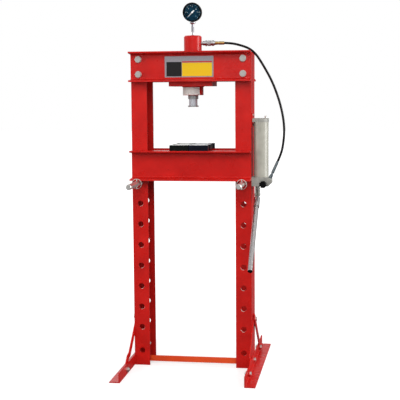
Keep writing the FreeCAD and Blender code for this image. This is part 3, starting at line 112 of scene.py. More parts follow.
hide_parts("hose")
print(f"hose: {spline.calc_length():.3f} m on {len(HOSE_POINTS)} points")

# %% [markdown]
# ## Surfaces on a grid
#
# Most small shapes here are a function of two parameters: round the piece, and along it. If we
# work the function out on whole arrays, one short function can turn any such grid of points into
# a mesh. A grid may close on itself in one direction, as a tube does, and its ends may be capped.

# %% From a grid of points to a piece
def grid_sides(rows, columns, closed=True):
    """Face (i, j) joins points (i, j), (i, j+1), (i+1, j+1), (i+1, j). Closed: last j to first."""
    i, j = np.meshgrid(np.arange(rows - 1), np.arange(columns if closed else columns - 1),
                       indexing="ij")
    j_next = (j + 1) % columns
    return np.stack([i * columns + j, i * columns + j_next, (i + 1) * columns + j_next,
                     (i + 1) * columns + j], axis=-1).reshape(-1, 4)


def grid_caps(rows, columns):
    """Two faces that fill the first and the last ring, both facing outwards."""
    ring = np.arange(columns)
    return np.stack([ring[::-1], ring + (rows - 1) * columns])


def piece_from_grid(name, grid, body, slot, closed=True, caps=True):
    """Mesh from points[i, j]: i runs along, j runs round. Only a closed grid has caps."""
    rows, columns, _ = grid.shape
    faces = grid_sides(rows, columns, closed).tolist()
    if closed and caps:
        faces += grid_caps(rows, columns).tolist()
    return piece_from_faces(name, grid.reshape(-1, 3), faces, body, slot)


def piece_from_faces(name, points, faces, body, slot):
    """A mesh object at the origin with these points and faces, riding on one body."""
    mesh = bpy.data.meshes.new(name)
    mesh.from_pydata(np.asarray(points).tolist(), [], faces)
    mesh.validate()
    mesh.update()
    piece = bpy.data.objects.new(name, mesh)
    bpy.context.scene.collection.objects.link(piece)
    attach(piece, body)
    return piece


# %% Directions across an axis, and shapes turned round it
def axes_from(direction):
    """Two directions across a given one, so that (side, other, direction) is right-handed."""
    along = np.array(direction, float)
    along /= np.linalg.norm(along)
    side = np.cross([0.0, 1.0, 0.0] if abs(along[1]) < 0.9 else [1.0, 0.0, 0.0], along)
    side /= np.linalg.norm(side)
    return side, np.cross(along, side), along


def turned(profile, origin, direction, steps, swell):
    """Grid of a turning: radius and height pairs swept round an axis.

    Point = origin + height * axis + (radius + swell(a, height)) * (cos(a) * side
    + sin(a) * other).
    """
    side, other, along = axes_from(direction)
    angle = np.linspace(0, 2 * np.pi, steps, endpoint=False)[None, :]
    radius, height = (np.array(column, float)[:, None] for column in zip(*profile))
    radius = radius + swell(angle, height)
    return (np.array(origin, float) + (height + 0 * angle)[..., None] * along
            + (radius * np.cos(angle))[..., None] * side
            + (radius * np.sin(angle))[..., None] * other)


# %% [markdown]
# ## The knurled coupler
#
# The coupler between the cylinder and the hose is a turned steel sleeve. The fingers grip it by
# two smooth bands and one knurled one: shallow diamonds rolled into the metal by two crossing
# sets of grooves. The crossing sets are two waves that wind in opposite ways, and their smaller
# value leaves diamonds.

# %% Turn the coupler and knurl its sleeve
PORT = (0.042, 0.0, 1.545)
KNURL_COUNT, KNURL_DEPTH, KNURL_PITCH = 36, 0.0005, 0.0024
KNURL_START, KNURL_END = 0.0306, 0.0434
COUPLER_SPACING = 0.0006
COUPLER_PROFILE = [
    (0.0079, -0.009), (0.0079, 0.0062), (0.0098, 0.0066), (0.0104, 0.0072), (0.0104, 0.0186),
    (0.0136, 0.0196), (0.0139, 0.0202), (0.0139, 0.0247), (0.0136, 0.0253), (0.0104, 0.0260),
    (0.0104, 0.0290), (0.0127, 0.0296), (0.0130, 0.0302), (0.0130, 0.0438), (0.0127, 0.0444),
    (0.0104, 0.0450), (0.0104, 0.0480), (0.0127, 0.0486), (0.0130, 0.0492), (0.0130, 0.0588),
    (0.0126, 0.0594), (0.0092, 0.0610), (0.0090, 0.0655),
]


def knurl(angle, height):
    """Swell of the knurled band: -depth * (1 - min of two crossing waves), zero outside it."""
    turn = 2 * np.pi * height / KNURL_PITCH
    waves = np.minimum(np.abs(np.cos((KNURL_COUNT * angle + turn) / 2)),
                       np.abs(np.cos((KNURL_COUNT * angle - turn) / 2)))
    inside = ((height > KNURL_START) & (height < KNURL_END)).astype(float)
    return -KNURL_DEPTH * (1 - waves) * inside


def stepped(corners, spacing):
    """The same profile with extra points, no further apart than the spacing, along its runs."""
    points = [corners[0]]
    for (r0, h0), (r1, h1) in zip(corners, corners[1:]):
        count = max(1, int(np.ceil(np.hypot(r1 - r0, h1 - h0) / spacing)))
        share = np.linspace(0, 1, count + 1)[1:]
        points += list(zip(r0 + (r1 - r0) * share, h0 + (h1 - h0) * share))
    return points


coupler_grid = turned(stepped(COUPLER_PROFILE, COUPLER_SPACING), PORT, (1, 0, 0),
                      4 * KNURL_COUNT, knurl)
knurled_coupler = piece_from_grid("knurled_coupler", coupler_grid, "press_frame",
                                  "bright_chrome")
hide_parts("quick_coupler")
print("coupler faces:", len(knurled_coupler.data.polygons))

# %% [markdown]
# ## Threads
#
# A bolt that goes through a nut shows a few turns of its thread. A thread is a round bar whose
# radius goes in and out once per pitch, and whose ridge climbs by one pitch per turn. On a grid
# this is one formula: the ridge depends on height minus pitch times the share of a turn. Each
# kind of bolt needs one such grid, which is then set at every bolt's end.

# %% Cut threads on the bolt ends
RIDGE_DEPTH, TIP_DEPTH, TIP_LENGTH = 0.5, 0.9, 1.2      # in pitches
ROWS_PER_PITCH = 6


def thread(radius, pitch, length, steps=24):
    """Grid of a threaded bar: radius - 0.5 * pitch * |2 * f - 1| - 0.9 * pitch * tip.

    f is the fraction of (height / pitch - angle / turn). tip rises from 0 to 1 over the last
    1.2 pitches, which bevels the bar's end.
    """
    height = np.arange(0, length + 1e-9, pitch / ROWS_PER_PITCH)[:, None]
    angle = np.linspace(0, 2 * np.pi, steps, endpoint=False)[None, :]
    ridge = np.abs(2 * np.mod(height / pitch - angle / (2 * np.pi), 1.0) - 1)
    tip = np.clip((height - length + TIP_LENGTH * pitch) / (TIP_LENGTH * pitch), 0, 1)
    around = radius - RIDGE_DEPTH * pitch * ridge - TIP_DEPTH * pitch * tip
    return np.stack([around * np.cos(angle), around * np.sin(angle), height + 0 * angle], axis=-1)


def copies_of(grid, places):
    """Points and faces of a closed, capped grid, once for each (origin, direction)."""
    rows, columns, _ = grid.shape
    sides, caps = grid_sides(rows, columns), grid_caps(rows, columns)
    points, faces = [], []
    for index, (origin, direction) in enumerate(places):
        points.append(grid.reshape(-1, 3) @ np.array(axes_from(direction)) + np.array(origin))
        start = index * rows * columns
        faces += (sides + start).tolist() + (caps + start).tolist()
    return np.concatenate(points), faces


# %% Where the bolts end
HOLE_X = 0.2475                 # the line of holes in the columns' flanges
BEAM_THREAD_Y = 0.0475          # where the threads leave the nuts
BEAM_BOLT_PLACES = [((x, way * BEAM_THREAD_Y, z), (0, -way, 0)) for x in (-HOLE_X, HOLE_X)
                    for way in (-1, 1) for z in (1.400, 1.470)]
FOOT_BOLT_PLACES = [((side * x, y, z), (-side, 0, 0)) for side in (-1, 1)
                    for x, y, z in ((0.2635, 0.0, 0.024), (0.2685, 0.0, 0.225),
                                    (0.2750, -0.250, 0.024), (0.2750, 0.250, 0.024))]
BEAM_THREAD = thread(radius=0.00945, pitch=0.0025, length=0.0066)
FOOT_THREAD = thread(radius=0.00598, pitch=0.00175, length=0.0045)
for name, grid, places in (("beam_bolt_threads", BEAM_THREAD, BEAM_BOLT_PLACES),
                           ("foot_bolt_threads", FOOT_THREAD, FOOT_BOLT_PLACES)):
    threads = piece_from_faces(name, *copies_of(grid, places), "press_frame", "zinc_steel")
    print(name, "faces:", len(threads.data.polygons))

# %% [markdown]
# ## Weld beads
#
# The cylinder is welded into its plate and the bed's spacers to its rails. A weld bead is a
# rounded strip that lies in the corner between two pieces. The welder's hand moves in short
# steps, and each step leaves a ripple. We carry a round section along the seam and let its
# radius swell and shrink along the way. Its inner part is sunk in the steel and doesn't show.

# %% Lay beads along the seams
RIPPLE_LENGTH, RIPPLE_SHARE = 0.0032, 0.16
END_SHARE, END_GROWTH = 0.35, 400.0     # a bead starts thin, and grows by this much per metre
PATH_SPACING = 0.0008


def bead(path, size):
    """Grid of a bead: circles along a path, of radius size * (1 + 0.16 * |sin(pi * s / ripple)|).

    s is the run along the path. The radius is that times min(1, 0.35 + 400 * s) at both ends.
    """
    ahead = np.gradient(path, axis=0)
    ahead /= np.linalg.norm(ahead, axis=1)[:, None]
    run = np.concatenate([[0.0], np.cumsum(np.linalg.norm(np.diff(path, axis=0), axis=1))])
    reference = [0.0, 0.0, 1.0] if abs(ahead[0, 2]) < 0.9 else [1.0, 0.0, 0.0]
    side = np.cross(reference, ahead)
    side /= np.linalg.norm(side, axis=1)[:, None]
    other = np.cross(ahead, side)
    angle = np.linspace(0, 2 * np.pi, 12, endpoint=False)
    radius = size * (1 + RIPPLE_SHARE * np.abs(np.sin(np.pi * run / RIPPLE_LENGTH)))
    radius *= np.minimum(1.0, END_SHARE + END_GROWTH * np.minimum(run, run[-1] - run))
    return (path[:, None, :] + radius[:, None, None]
            * (np.cos(angle)[None, :, None] * side[:, None, :]
               + np.sin(angle)[None, :, None] * other[:, None, :]))


def ring_path(radius, height, steps):
    """Points of a level circle round the press's axis."""
    turn = np.linspace(0, 2 * np.pi, steps + 1)
    return np.stack([radius * np.cos(turn), radius * np.sin(turn), height + 0 * turn], axis=1)


def straight_path(start, end):
    """Points from start to end, a spacing apart."""
    start, end = np.array(start, float), np.array(end, float)
    count = int(np.ceil(np.linalg.norm(end - start) / PATH_SPACING)) + 1
    return start + (end - start) * np.linspace(0, 1, count)[:, None]


RING_WELD, SPACER_WELD = 0.0032, 0.0028
for name, path in (("cylinder_weld", ring_path(radius=0.0492, height=1.3428, steps=360)),
                   ("barrel_weld", ring_path(radius=0.0422, height=1.3652, steps=320))):
    piece_from_grid(name, bead(path, RING_WELD), "press_frame", "red_paint", caps=False)
spacer_corners = [(x, y) for x in (-0.1979, 0.1979) for y in (-0.0753, 0.0753)]
for number, (x, y) in enumerate(spacer_corners, 1):
    seam = straight_path((x, y, 0.9152), (x, y, 1.0292))
    piece_from_grid(f"spacer_weld_{number}", bead(seam, SPACER_WELD), "bed", "red_paint")
print("weld beads:", 2 + len(spacer_corners))

# %% [markdown]
# ## The dial
#
# The gauge's dial is printed: a ring of marks, long ones at each step of the scale and short ones
# between, with plain numbers inside them. The scale covers 270 degrees, from lower left, over the
# top, to lower right. Marks are flat quads set round the centre, so one angle per mark is all
# that they need. The numbers are Blender's own text, made a mesh and laid on the dial.

# %% Print the dial's marks
GAUGE_CENTRE = np.array([0.0, 0.0, 1.690])
DIAL_FACE, PRINT_LIFT, INK_THICKNESS = 0.0090, 0.00015, 0.00012
SCALE_START, SCALE_SWEEP, SCALE_STEPS = math.radians(225), math.radians(270), 6


def thicken(piece, thickness):
    """Give a flat print a little body, so that it is a closed shape."""
    solidify = piece.modifiers.new("ink", "SOLIDIFY")
    solidify.thickness = thickness
    solidify.offset = 0.0
    return piece


def on_dial(x, y):
    """From the dial's own plane to the room: x stays, y goes up, and the face looks to -Y."""
    return np.stack([GAUGE_CENTRE[0] + x, GAUGE_CENTRE[1] - DIAL_FACE - PRINT_LIFT + 0 * x,
                     GAUGE_CENTRE[2] + y], axis=-1)


def dial_marks(name, count, inner, outer, width):
    """count + 1 quads: corners at inner and outer radius, half a width each side of the angle."""
    angle = SCALE_START - SCALE_SWEEP * np.arange(count + 1) / count
    radius = np.array([inner, inner, outer, outer])[None, :]
    across = np.array([-width, width, width, -width])[None, :] / 2
    x = radius * np.cos(angle)[:, None] - across * np.sin(angle)[:, None]
    y = radius * np.sin(angle)[:, None] + across * np.cos(angle)[:, None]
    faces = np.arange(4 * (count + 1)).reshape(-1, 4)[:, ::-1].tolist()
    marks = piece_from_faces(name, on_dial(x, y).reshape(-1, 3), faces, "press_frame",
                             "needle_white")
    thicken(marks, INK_THICKNESS)
    print(name, count + 1)


dial_marks("dial_long_marks", SCALE_STEPS, inner=0.0305, outer=0.0365, width=0.0007)
dial_marks("dial_short_marks", SCALE_STEPS * 5, inner=0.0335, outer=0.0365, width=0.0003)

# %% Print the dial's numbers
NUMBER_RING, NUMBER_SIZE = 0.0255, 0.0050


def dial_number(text, x, y):
    """A plain number, centred at (x, y) on the dial: text made a mesh, then laid on the dial."""
    curve = bpy.data.curves.new("dial_number_" + text, "FONT")
    curve.body, curve.size = text, NUMBER_SIZE
    curve.align_x, curve.align_y = "CENTER", "CENTER"
    holder = bpy.data.objects.new("number_outline", curve)
    bpy.context.scene.collection.objects.link(holder)
    bpy.context.view_layer.update()
    flat = bpy.data.meshes.new_from_object(holder)
    bpy.data.objects.remove(holder)
    points = np.zeros(len(flat.vertices) * 3)
    flat.vertices.foreach_get("co", points)
    points = points.reshape(-1, 3)
    faces = [list(face.vertices) for face in flat.polygons]
    bpy.data.meshes.remove(flat)
    placed = on_dial(points[:, 0] + x, points[:, 1] + y)
    thicken(piece_from_faces("dial_number_" + text, placed, faces, "press_frame",
                             "needle_white"), INK_THICKNESS)


DIAL_NUMBERS = [str(step * 10) for step in range(SCALE_STEPS + 1)]
for step, text in enumerate(DIAL_NUMBERS):
    angle = SCALE_START - SCALE_SWEEP * step / SCALE_STEPS
    dial_number(text, NUMBER_RING * math.cos(angle), NUMBER_RING * math.sin(angle))
print("dial numbers:", DIAL_NUMBERS)

# %% [markdown]
# ## The plate's colours
#
# The plate on the front beam is a thin sheet of aluminium with flat fields of colour screened
# onto it. Each field is a rectangle with rounded corners, a hair proud of the sheet, whose
# outline is four quarter circles joined by straight sides.

# %% Screen the plate's colour fields
PLATE_FACE, FIELD_LIFT = -0.0830, 0.0001


def rounded_field(name, x_low, x_high, z_low, z_high, corner):
    """Flat field: corner centres plus corner * (cos, sin) over four quarter turns."""
    turn = np.linspace(0, np.pi / 2, 7)
    centres = [(x_high - corner, z_high - corner), (x_low + corner, z_high - corner),
               (x_low + corner, z_low + corner), (x_high - corner, z_low + corner)]
    x, z = np.concatenate([
        np.stack([x + corner * np.cos(turn + quarter * np.pi / 2),
                  z + corner * np.sin(turn + quarter * np.pi / 2)], axis=1)
        for quarter, (x, z) in enumerate(centres)]).T
    points = np.stack([x, PLATE_FACE - FIELD_LIFT + 0 * x, z], axis=1)
    thicken(piece_from_faces(name, points, [list(range(len(points)))], "press_frame",
                             "label_metal"), INK_THICKNESS)
    print(f"{name}: {(x_high - x_low) * 1000:.0f} x {(z_high - z_low) * 1000:.0f} mm")


rounded_field("plate_black_field", -0.1125, -0.0405, 1.3895, 1.4565, corner=0.002)
rounded_field("plate_red_strip", -0.0385, 0.1030, 1.4535, 1.459, corner=0.001)
rounded_field("plate_yellow_field", -0.0385, 0.1030, 1.3898, 1.452, corner=0.002)

# %% [markdown]
# ## The film on the ring
#
# A pale plastic film is stuck round the ring under the cylinder, on the side that the operator
# sees. It follows the ring, so it is a patch of a slightly larger cylinder: a grid of an angle
# and a height.

# %% Stick the film on the ring
FILM_RADIUS, FILM_THICKNESS, FILM_LOW, FILM_HIGH = 0.0491, 0.0002, 1.3030, 1.3390
FILM_START, FILM_END = math.radians(-196), math.radians(-42)

# Point = (radius * cos(a), radius * sin(a), z) over the film's angles and heights.
turn, z = np.meshgrid(np.linspace(FILM_START, FILM_END, 48), np.linspace(FILM_LOW, FILM_HIGH, 5))
film_grid = np.stack([FILM_RADIUS * np.cos(turn), FILM_RADIUS * np.sin(turn), z], axis=-1)
ring_film = piece_from_grid("ring_film", film_grid, "press_frame", "label_metal", closed=False)
thicken(ring_film, FILM_THICKNESS)
print("film faces:", len(ring_film.data.polygons))

# %% [markdown]
# ## Colour
#
# A paint chart or a web colour is written in sRGB, the way a screen wants it. Light is added up
# in linear numbers, so each hex code is turned into linear once, in one function. A Mix node
# keeps a set of sockets for each kind of data, so its sockets are picked by their number.

# %% One function for colours, one for nodes
MIX_SHARE, NUMBER_A, NUMBER_B, COLOUR_A, COLOUR_B = 0, 2, 3, 6, 7
MIXED_NUMBER, MIXED_COLOUR = 0, 2


def linear(code):
    """sRGB hex to linear RGBA: c / 12.92 below 0.04045, else ((c + 0.055) / 1.055) ** 2.4."""
    c = np.array([int(code[k:k + 2], 16) for k in (1, 3, 5)]) / 255
    rgb = np.where(c < 0.04045, c / 12.92, ((c + 0.055) / 1.055) ** 2.4)
    return (*(float(part) for part in rgb), 1.0)


def add(tree, kind, inputs=None, stops=None, **settings):
    """Add one node. inputs holds values, or sockets to link from; stops fills a colour ramp."""
    node = tree.nodes.new("ShaderNode" + kind)
    for name, setting in settings.items():
        setattr(node, name, setting)
    for name, given in (inputs or {}).items():
        if isinstance(given, bpy.types.NodeSocket):
            tree.links.new(given, node.inputs[name])
        else:
            node.inputs[name].default_value = given
    for index, (position, colour) in enumerate(stops or []):
        if index > 1:
            node.color_ramp.elements.new(position)
        node.color_ramp.elements[index].position = position
        node.color_ramp.elements[index].color = colour
    return node


def new_finish(name):
    """An empty material: its tree, its object coordinates and its output node."""
    material = bpy.data.materials.new(name)
    material.use_nodes = True
    tree = material.node_tree
    tree.nodes.clear()
    place = add(tree, "TexCoord").outputs["Object"]
    output = add(tree, "OutputMaterial")
    return material, tree, place, output


def surface(tree, output, **inputs):
    """The Principled shader with these inputs, joined to the output."""
    names = {name.replace("_", " "): given for name, given in inputs.items()}
    shader = add(tree, "BsdfPrincipled", names)
    tree.links.new(shader.outputs[0], output.inputs["Surface"])


def wear(piece_names, material):
    """Put one finish on CAD parts and made pieces, in place of what they came with."""
    for name in piece_names:
        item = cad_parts.get(name) or bpy.data.objects[name]
        item.data.materials.clear()
        item.data.materials.append(material)


# %% [markdown]
# ## Red enamel
#
# The frame is hot-rolled steel sprayed with glossy alkyd enamel. Mill scale under the paint and
# the paint's own flow leave a faint waviness, about 2 mm across on the flow and 40 mm on the
# steel. The colour varies a little with the paint's thickness, and the gloss is duller where
# hands and chips have rubbed it. Enamel is a dielectric, so it isn't metallic. Its IOR is 1.5,
# and its gloss level is lowered a little, to match the soft highlights of the photograph. The pin
# holes of the columns have a painted highlight: a pale crescent on their lower inner side, where
# light shows in the hole. It is painted as a ring round each hole, kept only on that side.

# %% The painted highlights in the pin holes
HOLE_RADIUS, HOLE_GAP, MIDDLE_ROW, ROWS_EACH_WAY = 0.0136, 0.1, 0.539, 4
RIM_INNER, RIM_OUTER = 0.0003, 0.0010       # the rim fades out between these, past the hole
HIGHLIGHT_SIDE = (-0.6, -0.8, 0.0)              # towards the press's middle, and down


def pin_hole_highlight_mask(tree, place):
    """Painted highlight: 1 in the bore and on the rim of each pin hole, on its lower inner side,
    else 0.

    The rows of holes wrap onto one row by their gap, and both columns fold onto one.
    """
    x, _, z = add(tree, "SeparateXYZ", {"Vector": place}).outputs
    beside = add(tree, "Math", {0: add(tree, "Math", {0: x}, operation="ABSOLUTE").outputs[0],
                                1: HOLE_X}, operation="SUBTRACT")
    from_row = add(tree, "Math", {0: z, 1: MIDDLE_ROW + HOLE_GAP / 2}, operation="SUBTRACT")
    above = add(tree, "Math", {0: from_row.outputs[0], 1: HOLE_GAP / 2, 2: -HOLE_GAP / 2},
                operation="WRAP")
    across = add(tree, "CombineXYZ", {"X": beside.outputs[0], "Y": above.outputs[0]})
    away = add(tree, "VectorMath", {0: across.outputs[0]}, operation="LENGTH")
    rim = add(tree, "MapRange", {"Value": away.outputs["Value"],
                                 "From Min": HOLE_RADIUS + RIM_INNER,
                                 "From Max": HOLE_RADIUS + RIM_OUTER, "To Min": 1.0,
                                 "To Max": 0.0})
    toward_highlight_side = add(tree, "VectorMath", {0: across.outputs[0], 1: HIGHLIGHT_SIDE},
                     operation="DOT_PRODUCT")
    on_highlight_side = add(tree, "MapRange", {"Value": toward_highlight_side.outputs["Value"],
                                    "From Min": 0.60 * HOLE_RADIUS,
                                    "From Max": 0.85 * HOLE_RADIUS})
    in_rows = add(tree, "Math", {0: z, 1: MIDDLE_ROW, 2: ROWS_EACH_WAY * HOLE_GAP},
                  operation="COMPARE")
    hole_highlight = add(tree, "Math", {0: rim.outputs["Result"], 1: on_highlight_side.outputs["Result"]},
               operation="MULTIPLY")
    return add(tree, "Math", {0: hole_highlight.outputs[0], 1: in_rows.outputs[0]},
               operation="MULTIPLY").outputs[0]


# %% Red enamel on rolled steel
# Noise scales, in waves per metre: clouds of 110 mm, patches of 70, waves of 40, specks of 6 and
# an orange peel of 2.
CLOUDS, PATCHES, WAVES, SPECKS, PEEL = 9.0, 14.0, 26.0, 160.0, 480.0
BLACK, WHITE = (0, 0, 0, 1), (1, 1, 1, 1)


def enamel(name, deep, lit, chip, roughness=0.30, hole_highlight_colour=None):
    """Sprayed enamel: cloudy colour, orange peel, chips, a rubbed gloss, and a painted highlight
    in the pin holes.
    """
    material, tree, place, output = new_finish(name)
    cloud = add(tree, "TexNoise", {"Vector": place, "Scale": CLOUDS, "Detail": 3.0,
                                   "Roughness": 0.6})
    colour = add(tree, "ValToRGB", {"Fac": cloud.outputs["Fac"]},
                 [(0.30, linear(deep)), (0.70, linear(lit))])
    speck = add(tree, "TexNoise", {"Vector": place, "Scale": SPECKS, "Detail": 4.0,
                                   "Roughness": 0.7})
    patch = add(tree, "TexNoise", {"Vector": place, "Scale": PATCHES, "Detail": 2.0})
    both = add(tree, "Math", {0: speck.outputs["Fac"], 1: patch.outputs["Fac"]},
               operation="MULTIPLY")
    chips = add(tree, "ValToRGB", {"Fac": both.outputs[0]}, [(0.455, BLACK), (0.475, WHITE)])
    painted = add(tree, "Mix", {MIX_SHARE: chips.outputs["Color"],
                                COLOUR_A: colour.outputs["Color"],
                                COLOUR_B: linear(chip)}, data_type="RGBA")
    # The pin holes' painted highlight: a pale colour mixed in on one side of each hole.
    if hole_highlight_colour:
        painted = add(tree, "Mix", {MIX_SHARE: pin_hole_highlight_mask(tree, place),
                                    COLOUR_A: painted.outputs[MIXED_COLOUR],
                                    COLOUR_B: linear(hole_highlight_colour)}, data_type="RGBA")
    gloss = add(tree, "MapRange", {"Value": patch.outputs["Fac"], "From Min": 0.3,
                                   "From Max": 0.7, "To Min": roughness - 0.06,
                                   "To Max": roughness + 0.10})
    peel = add(tree, "TexNoise", {"Vector": place, "Scale": PEEL, "Detail": 1.0})
    wave = add(tree, "TexNoise", {"Vector": place, "Scale": WAVES, "Detail": 2.0})
    small = add(tree, "Bump", {"Height": peel.outputs["Fac"], "Strength": 0.05,
                               "Distance": 0.001})
    large = add(tree, "Bump", {"Height": wave.outputs["Fac"], "Strength": 0.10,
                               "Distance": 0.006, "Normal": small.outputs["Normal"]})
    surface(tree, output, Base_Color=painted.outputs[MIXED_COLOUR],
            Roughness=gloss.outputs["Result"], IOR=1.5, Specular_IOR_Level=0.30,
            Normal=large.outputs["Normal"])
    return material


red_enamel = enamel("red_alkyd_enamel_on_rolled_steel", "#b1120e", "#c61a14", "#7c100e")
# The columns' enamel, with a painted highlight in each pin hole.
enamel_with_painted_hole_highlights = enamel("red_alkyd_enamel_with_painted_pin_hole_highlights", "#b1120e", "#c61a14", "#7c100e",
                       hole_highlight_colour="#e0c0b8")
orange_enamel = enamel("orange_red_enamel_on_flat_bar", "#de4820", "#ec5628", "#8a2416",
                       roughness=0.36)
wear(["left_column", "right_column"], enamel_with_painted_hole_highlights)
wear(["front_top_beam", "rear_top_beam", "bed_front_rail", "bed_rear_rail", "bed_spacers",
      "left_foot", "right_foot", "left_front_brace", "left_rear_brace", "right_front_brace",
      "right_rear_brace", "cylinder_plate", "cylinder_barrel", "cylinder_ring", "pump_bracket",
      "cylinder_weld", "barrel_weld"]
     + [f"spacer_weld_{number}" for number in range(1, 5)], red_enamel)
wear(["spreader_bar"], orange_enamel)
print("enamels:", red_enamel.name, enamel_with_painted_hole_highlights.name, orange_enamel.name)

# %% [markdown]
# ## Bare and plated metal
#
# A metal reflects with its own colour and has no gloss of its own on top, so metallic is 1 and
# roughness does the rest. Zinc plate is a soft grey with fine cloudy spangle. The gauge's fittings
# are nickel-plated, and the hose's sleeves are crimped steel, a little darker. Hard chrome on the
# plunger is a near mirror with faint rings from grinding. The ram's chrome is satin and the gland
# is oily, and both are set lower in metallic to match their pale look in the photograph. Turned
# steel shows the lathe's fine rings, about 0.3 mm apart: they are drawn 1 mm apart here, because
# finer ones vanish at the picture's size.

# %% Plated, ground and turned metals
CLOUD_SIZE, RING_GAP = 0.006, 0.001


def metal(name, dark, light, roughness, spread=0.08, rings=None, depth=0.00002, metallic=1.0):
    """Bare metal: cloudy tint and roughness, with fine rings along one axis if it was turned.

    Bands of scale s repeat every pi / (10 * s) metres.
    """
    material, tree, place, output = new_finish(name)
    cloud = add(tree, "TexNoise", {"Vector": place, "Scale": 1 / CLOUD_SIZE, "Detail": 3.0})
    colour = add(tree, "ValToRGB", {"Fac": cloud.outputs["Fac"]},
                 [(0.32, linear(dark)), (0.68, linear(light))])
    rough = add(tree, "MapRange", {"Value": cloud.outputs["Fac"], "From Min": 0.3,
                                   "From Max": 0.7, "To Min": roughness - spread,
                                   "To Max": roughness + spread})
    normal = {}
    if rings:
        bands = add(tree, "TexWave", {"Vector": place, "Scale": math.pi / 10 / RING_GAP,
                                      "Distortion": 0.4, "Detail": 1.0}, wave_type="BANDS",
                    bands_direction=rings)
        bump = add(tree, "Bump", {"Height": bands.outputs["Fac"], "Strength": 0.35,
                                  "Distance": depth})
        normal = {"Normal": bump.outputs["Normal"]}
    surface(tree, output, Base_Color=colour.outputs["Color"], Metallic=metallic,
            Roughness=rough.outputs["Result"], **normal)
    return material


wear(["beam_bolts", "beam_washers", "beam_nuts", "foot_bolts", "foot_nuts", "pump_bolts",
      "fulcrum_pin", "plunger_pin", "filler_plug", "left_pin_clip", "right_pin_clip",
      "plunger_gland", "beam_bolt_threads", "foot_bolt_threads"],
     metal("zinc_plated_steel", "#cfcdc8", "#e2e0db", 0.42))
wear(["gauge_adapter", "gauge_stem"],
     metal("nickel_plated_fitting", "#a3a0a6", "#b6b3b9", 0.36))
wear(["hose_ferrule", "pump_outlet_fitting"],
     metal("crimped_steel_sleeve", "#7b868c", "#929da3", 0.38))
wear(["left_bed_pin", "right_bed_pin"],
     metal("turned_steel_bar", "#e2e0dc", "#efede9", 0.40, rings="Y"))
wear(["gland_bush"],
     metal("turned_steel_with_oil_film", "#979a9a", "#aeb1b1", 0.36, rings="Z", metallic=0.7))
wear(["ram_saddle"], metal("ground_steel_saddle", "#b7b8ba", "#cccdce", 0.32, rings="Z"))
wear(["pump_plunger"],
     metal("hard_chrome_on_steel", "#c9c9cb", "#dededf", 0.12, 0.03, rings="Z", depth=0.000008))
wear(["ram"],
     metal("satin_chrome_on_ground_steel", "#bfc2c9", "#cfd2d9", 0.42, 0.05, rings="Z",
           metallic=0.5))
wear(["knurled_coupler"], metal("bright_chrome_plate", "#c2c1c3", "#d6d5d7", 0.28, 0.05))
wear(["pump_handle"], metal("chrome_plate_on_tube", "#b9b4b4", "#cdc9c9", 0.16, 0.05))
wear(["return_spring"], metal("oiled_spring_steel", "#4c4c4e", "#626266", 0.38))
wear(["hose_end"], metal("turned_brass", "#bf9a5c", "#d6b67c", 0.20, 0.05, rings="X"))
print("materials so far:", len(bpy.data.materials))

# %% [markdown]
# ## Blued plates, the lever, castings and the oil tube
#
# The arbor plates are thick steel, blued to a dark navy and then ground bright on top, where
# metallic is low to match the pale look of the photograph. The pump's lever is dark grey-green
# above, and its chromed socket takes the handle below. Height tells the two finishes apart on
# each, so one ramp on Z does it. The pump's block is a sand casting under grey paint, whose grain
# is about 1.5 mm. The oil tube is a drawn tube in smooth warm grey enamel.

# %% Two finishes, one above the other
EDGE = 0.0002                       # half the ramp between the two, in metres
GRINDING = (900.0, 14.0, 14.0)      # waves per metre: scratches 1 mm wide and 70 mm long


def two_finishes(name, below, above, level, metallic, roughness):
    """One finish below a height and another above it: colours, metallic and roughness mix by Z."""
    material, tree, place, output = new_finish(name)
    height = add(tree, "SeparateXYZ", {"Vector": place}).outputs["Z"]
    is_top = add(tree, "MapRange", {"Value": height, "From Min": level - EDGE,
                                    "From Max": level + EDGE})
    cloud = add(tree, "TexNoise", {"Vector": place, "Scale": 60.0, "Detail": 4.0})
    side = add(tree, "ValToRGB", {"Fac": cloud.outputs["Fac"]},
               [(0.35, linear(below[0])), (0.65, linear(below[1]))])
    stretch = add(tree, "Mapping", {"Vector": place, "Scale": GRINDING})
    scratch = add(tree, "TexNoise", {"Vector": stretch.outputs["Vector"], "Scale": 1.0,
                                     "Detail": 2.0})
    ground = add(tree, "ValToRGB", {"Fac": scratch.outputs["Fac"]},
                 [(0.35, linear(above[0])), (0.65, linear(above[1]))])
    colour = add(tree, "Mix", {MIX_SHARE: is_top.outputs["Result"],
                               COLOUR_A: side.outputs["Color"],
                               COLOUR_B: ground.outputs["Color"]}, data_type="RGBA")
    bump = add(tree, "Bump", {"Height": scratch.outputs["Fac"], "Strength": 0.12,
                              "Distance": 0.0002})
    shares = [add(tree, "Mix", {MIX_SHARE: is_top.outputs["Result"], NUMBER_A: low,
                                NUMBER_B: high}).outputs[MIXED_NUMBER]
              for low, high in (metallic, roughness)]
    surface(tree, output, Base_Color=colour.outputs[MIXED_COLOUR], Metallic=shares[0],
            Roughness=shares[1], Normal=bump.outputs["Normal"])
    return material


GROUND_FROM, SOCKET_TOP = 1.0693 - 0.0004, 0.830
BLUED = {"level": GROUND_FROM, "metallic": (0.75, 0.25), "roughness": (0.34, 0.40)}
wear(["left_arbor_plate"],
     two_finishes("blued_plate_with_green_cast", ("#0a100f", "#121b18"), ("#dbe4e0", "#e9f0ed"),
                  **BLUED))
wear(["right_arbor_plate"],
     two_finishes("blued_plate_navy", ("#0c101c", "#141a2a"), ("#dae2e4", "#e8eef0"), **BLUED))
wear(["handle_lever"],
     two_finishes("dark_grey_green_over_chrome_socket", ("#b9b4b4", "#cdc9c9"), ("#4b4e43", "#606458"),
                  SOCKET_TOP, metallic=(1.0, 0.0), roughness=(0.16, 0.42)))
print("materials so far:", len(bpy.data.materials))

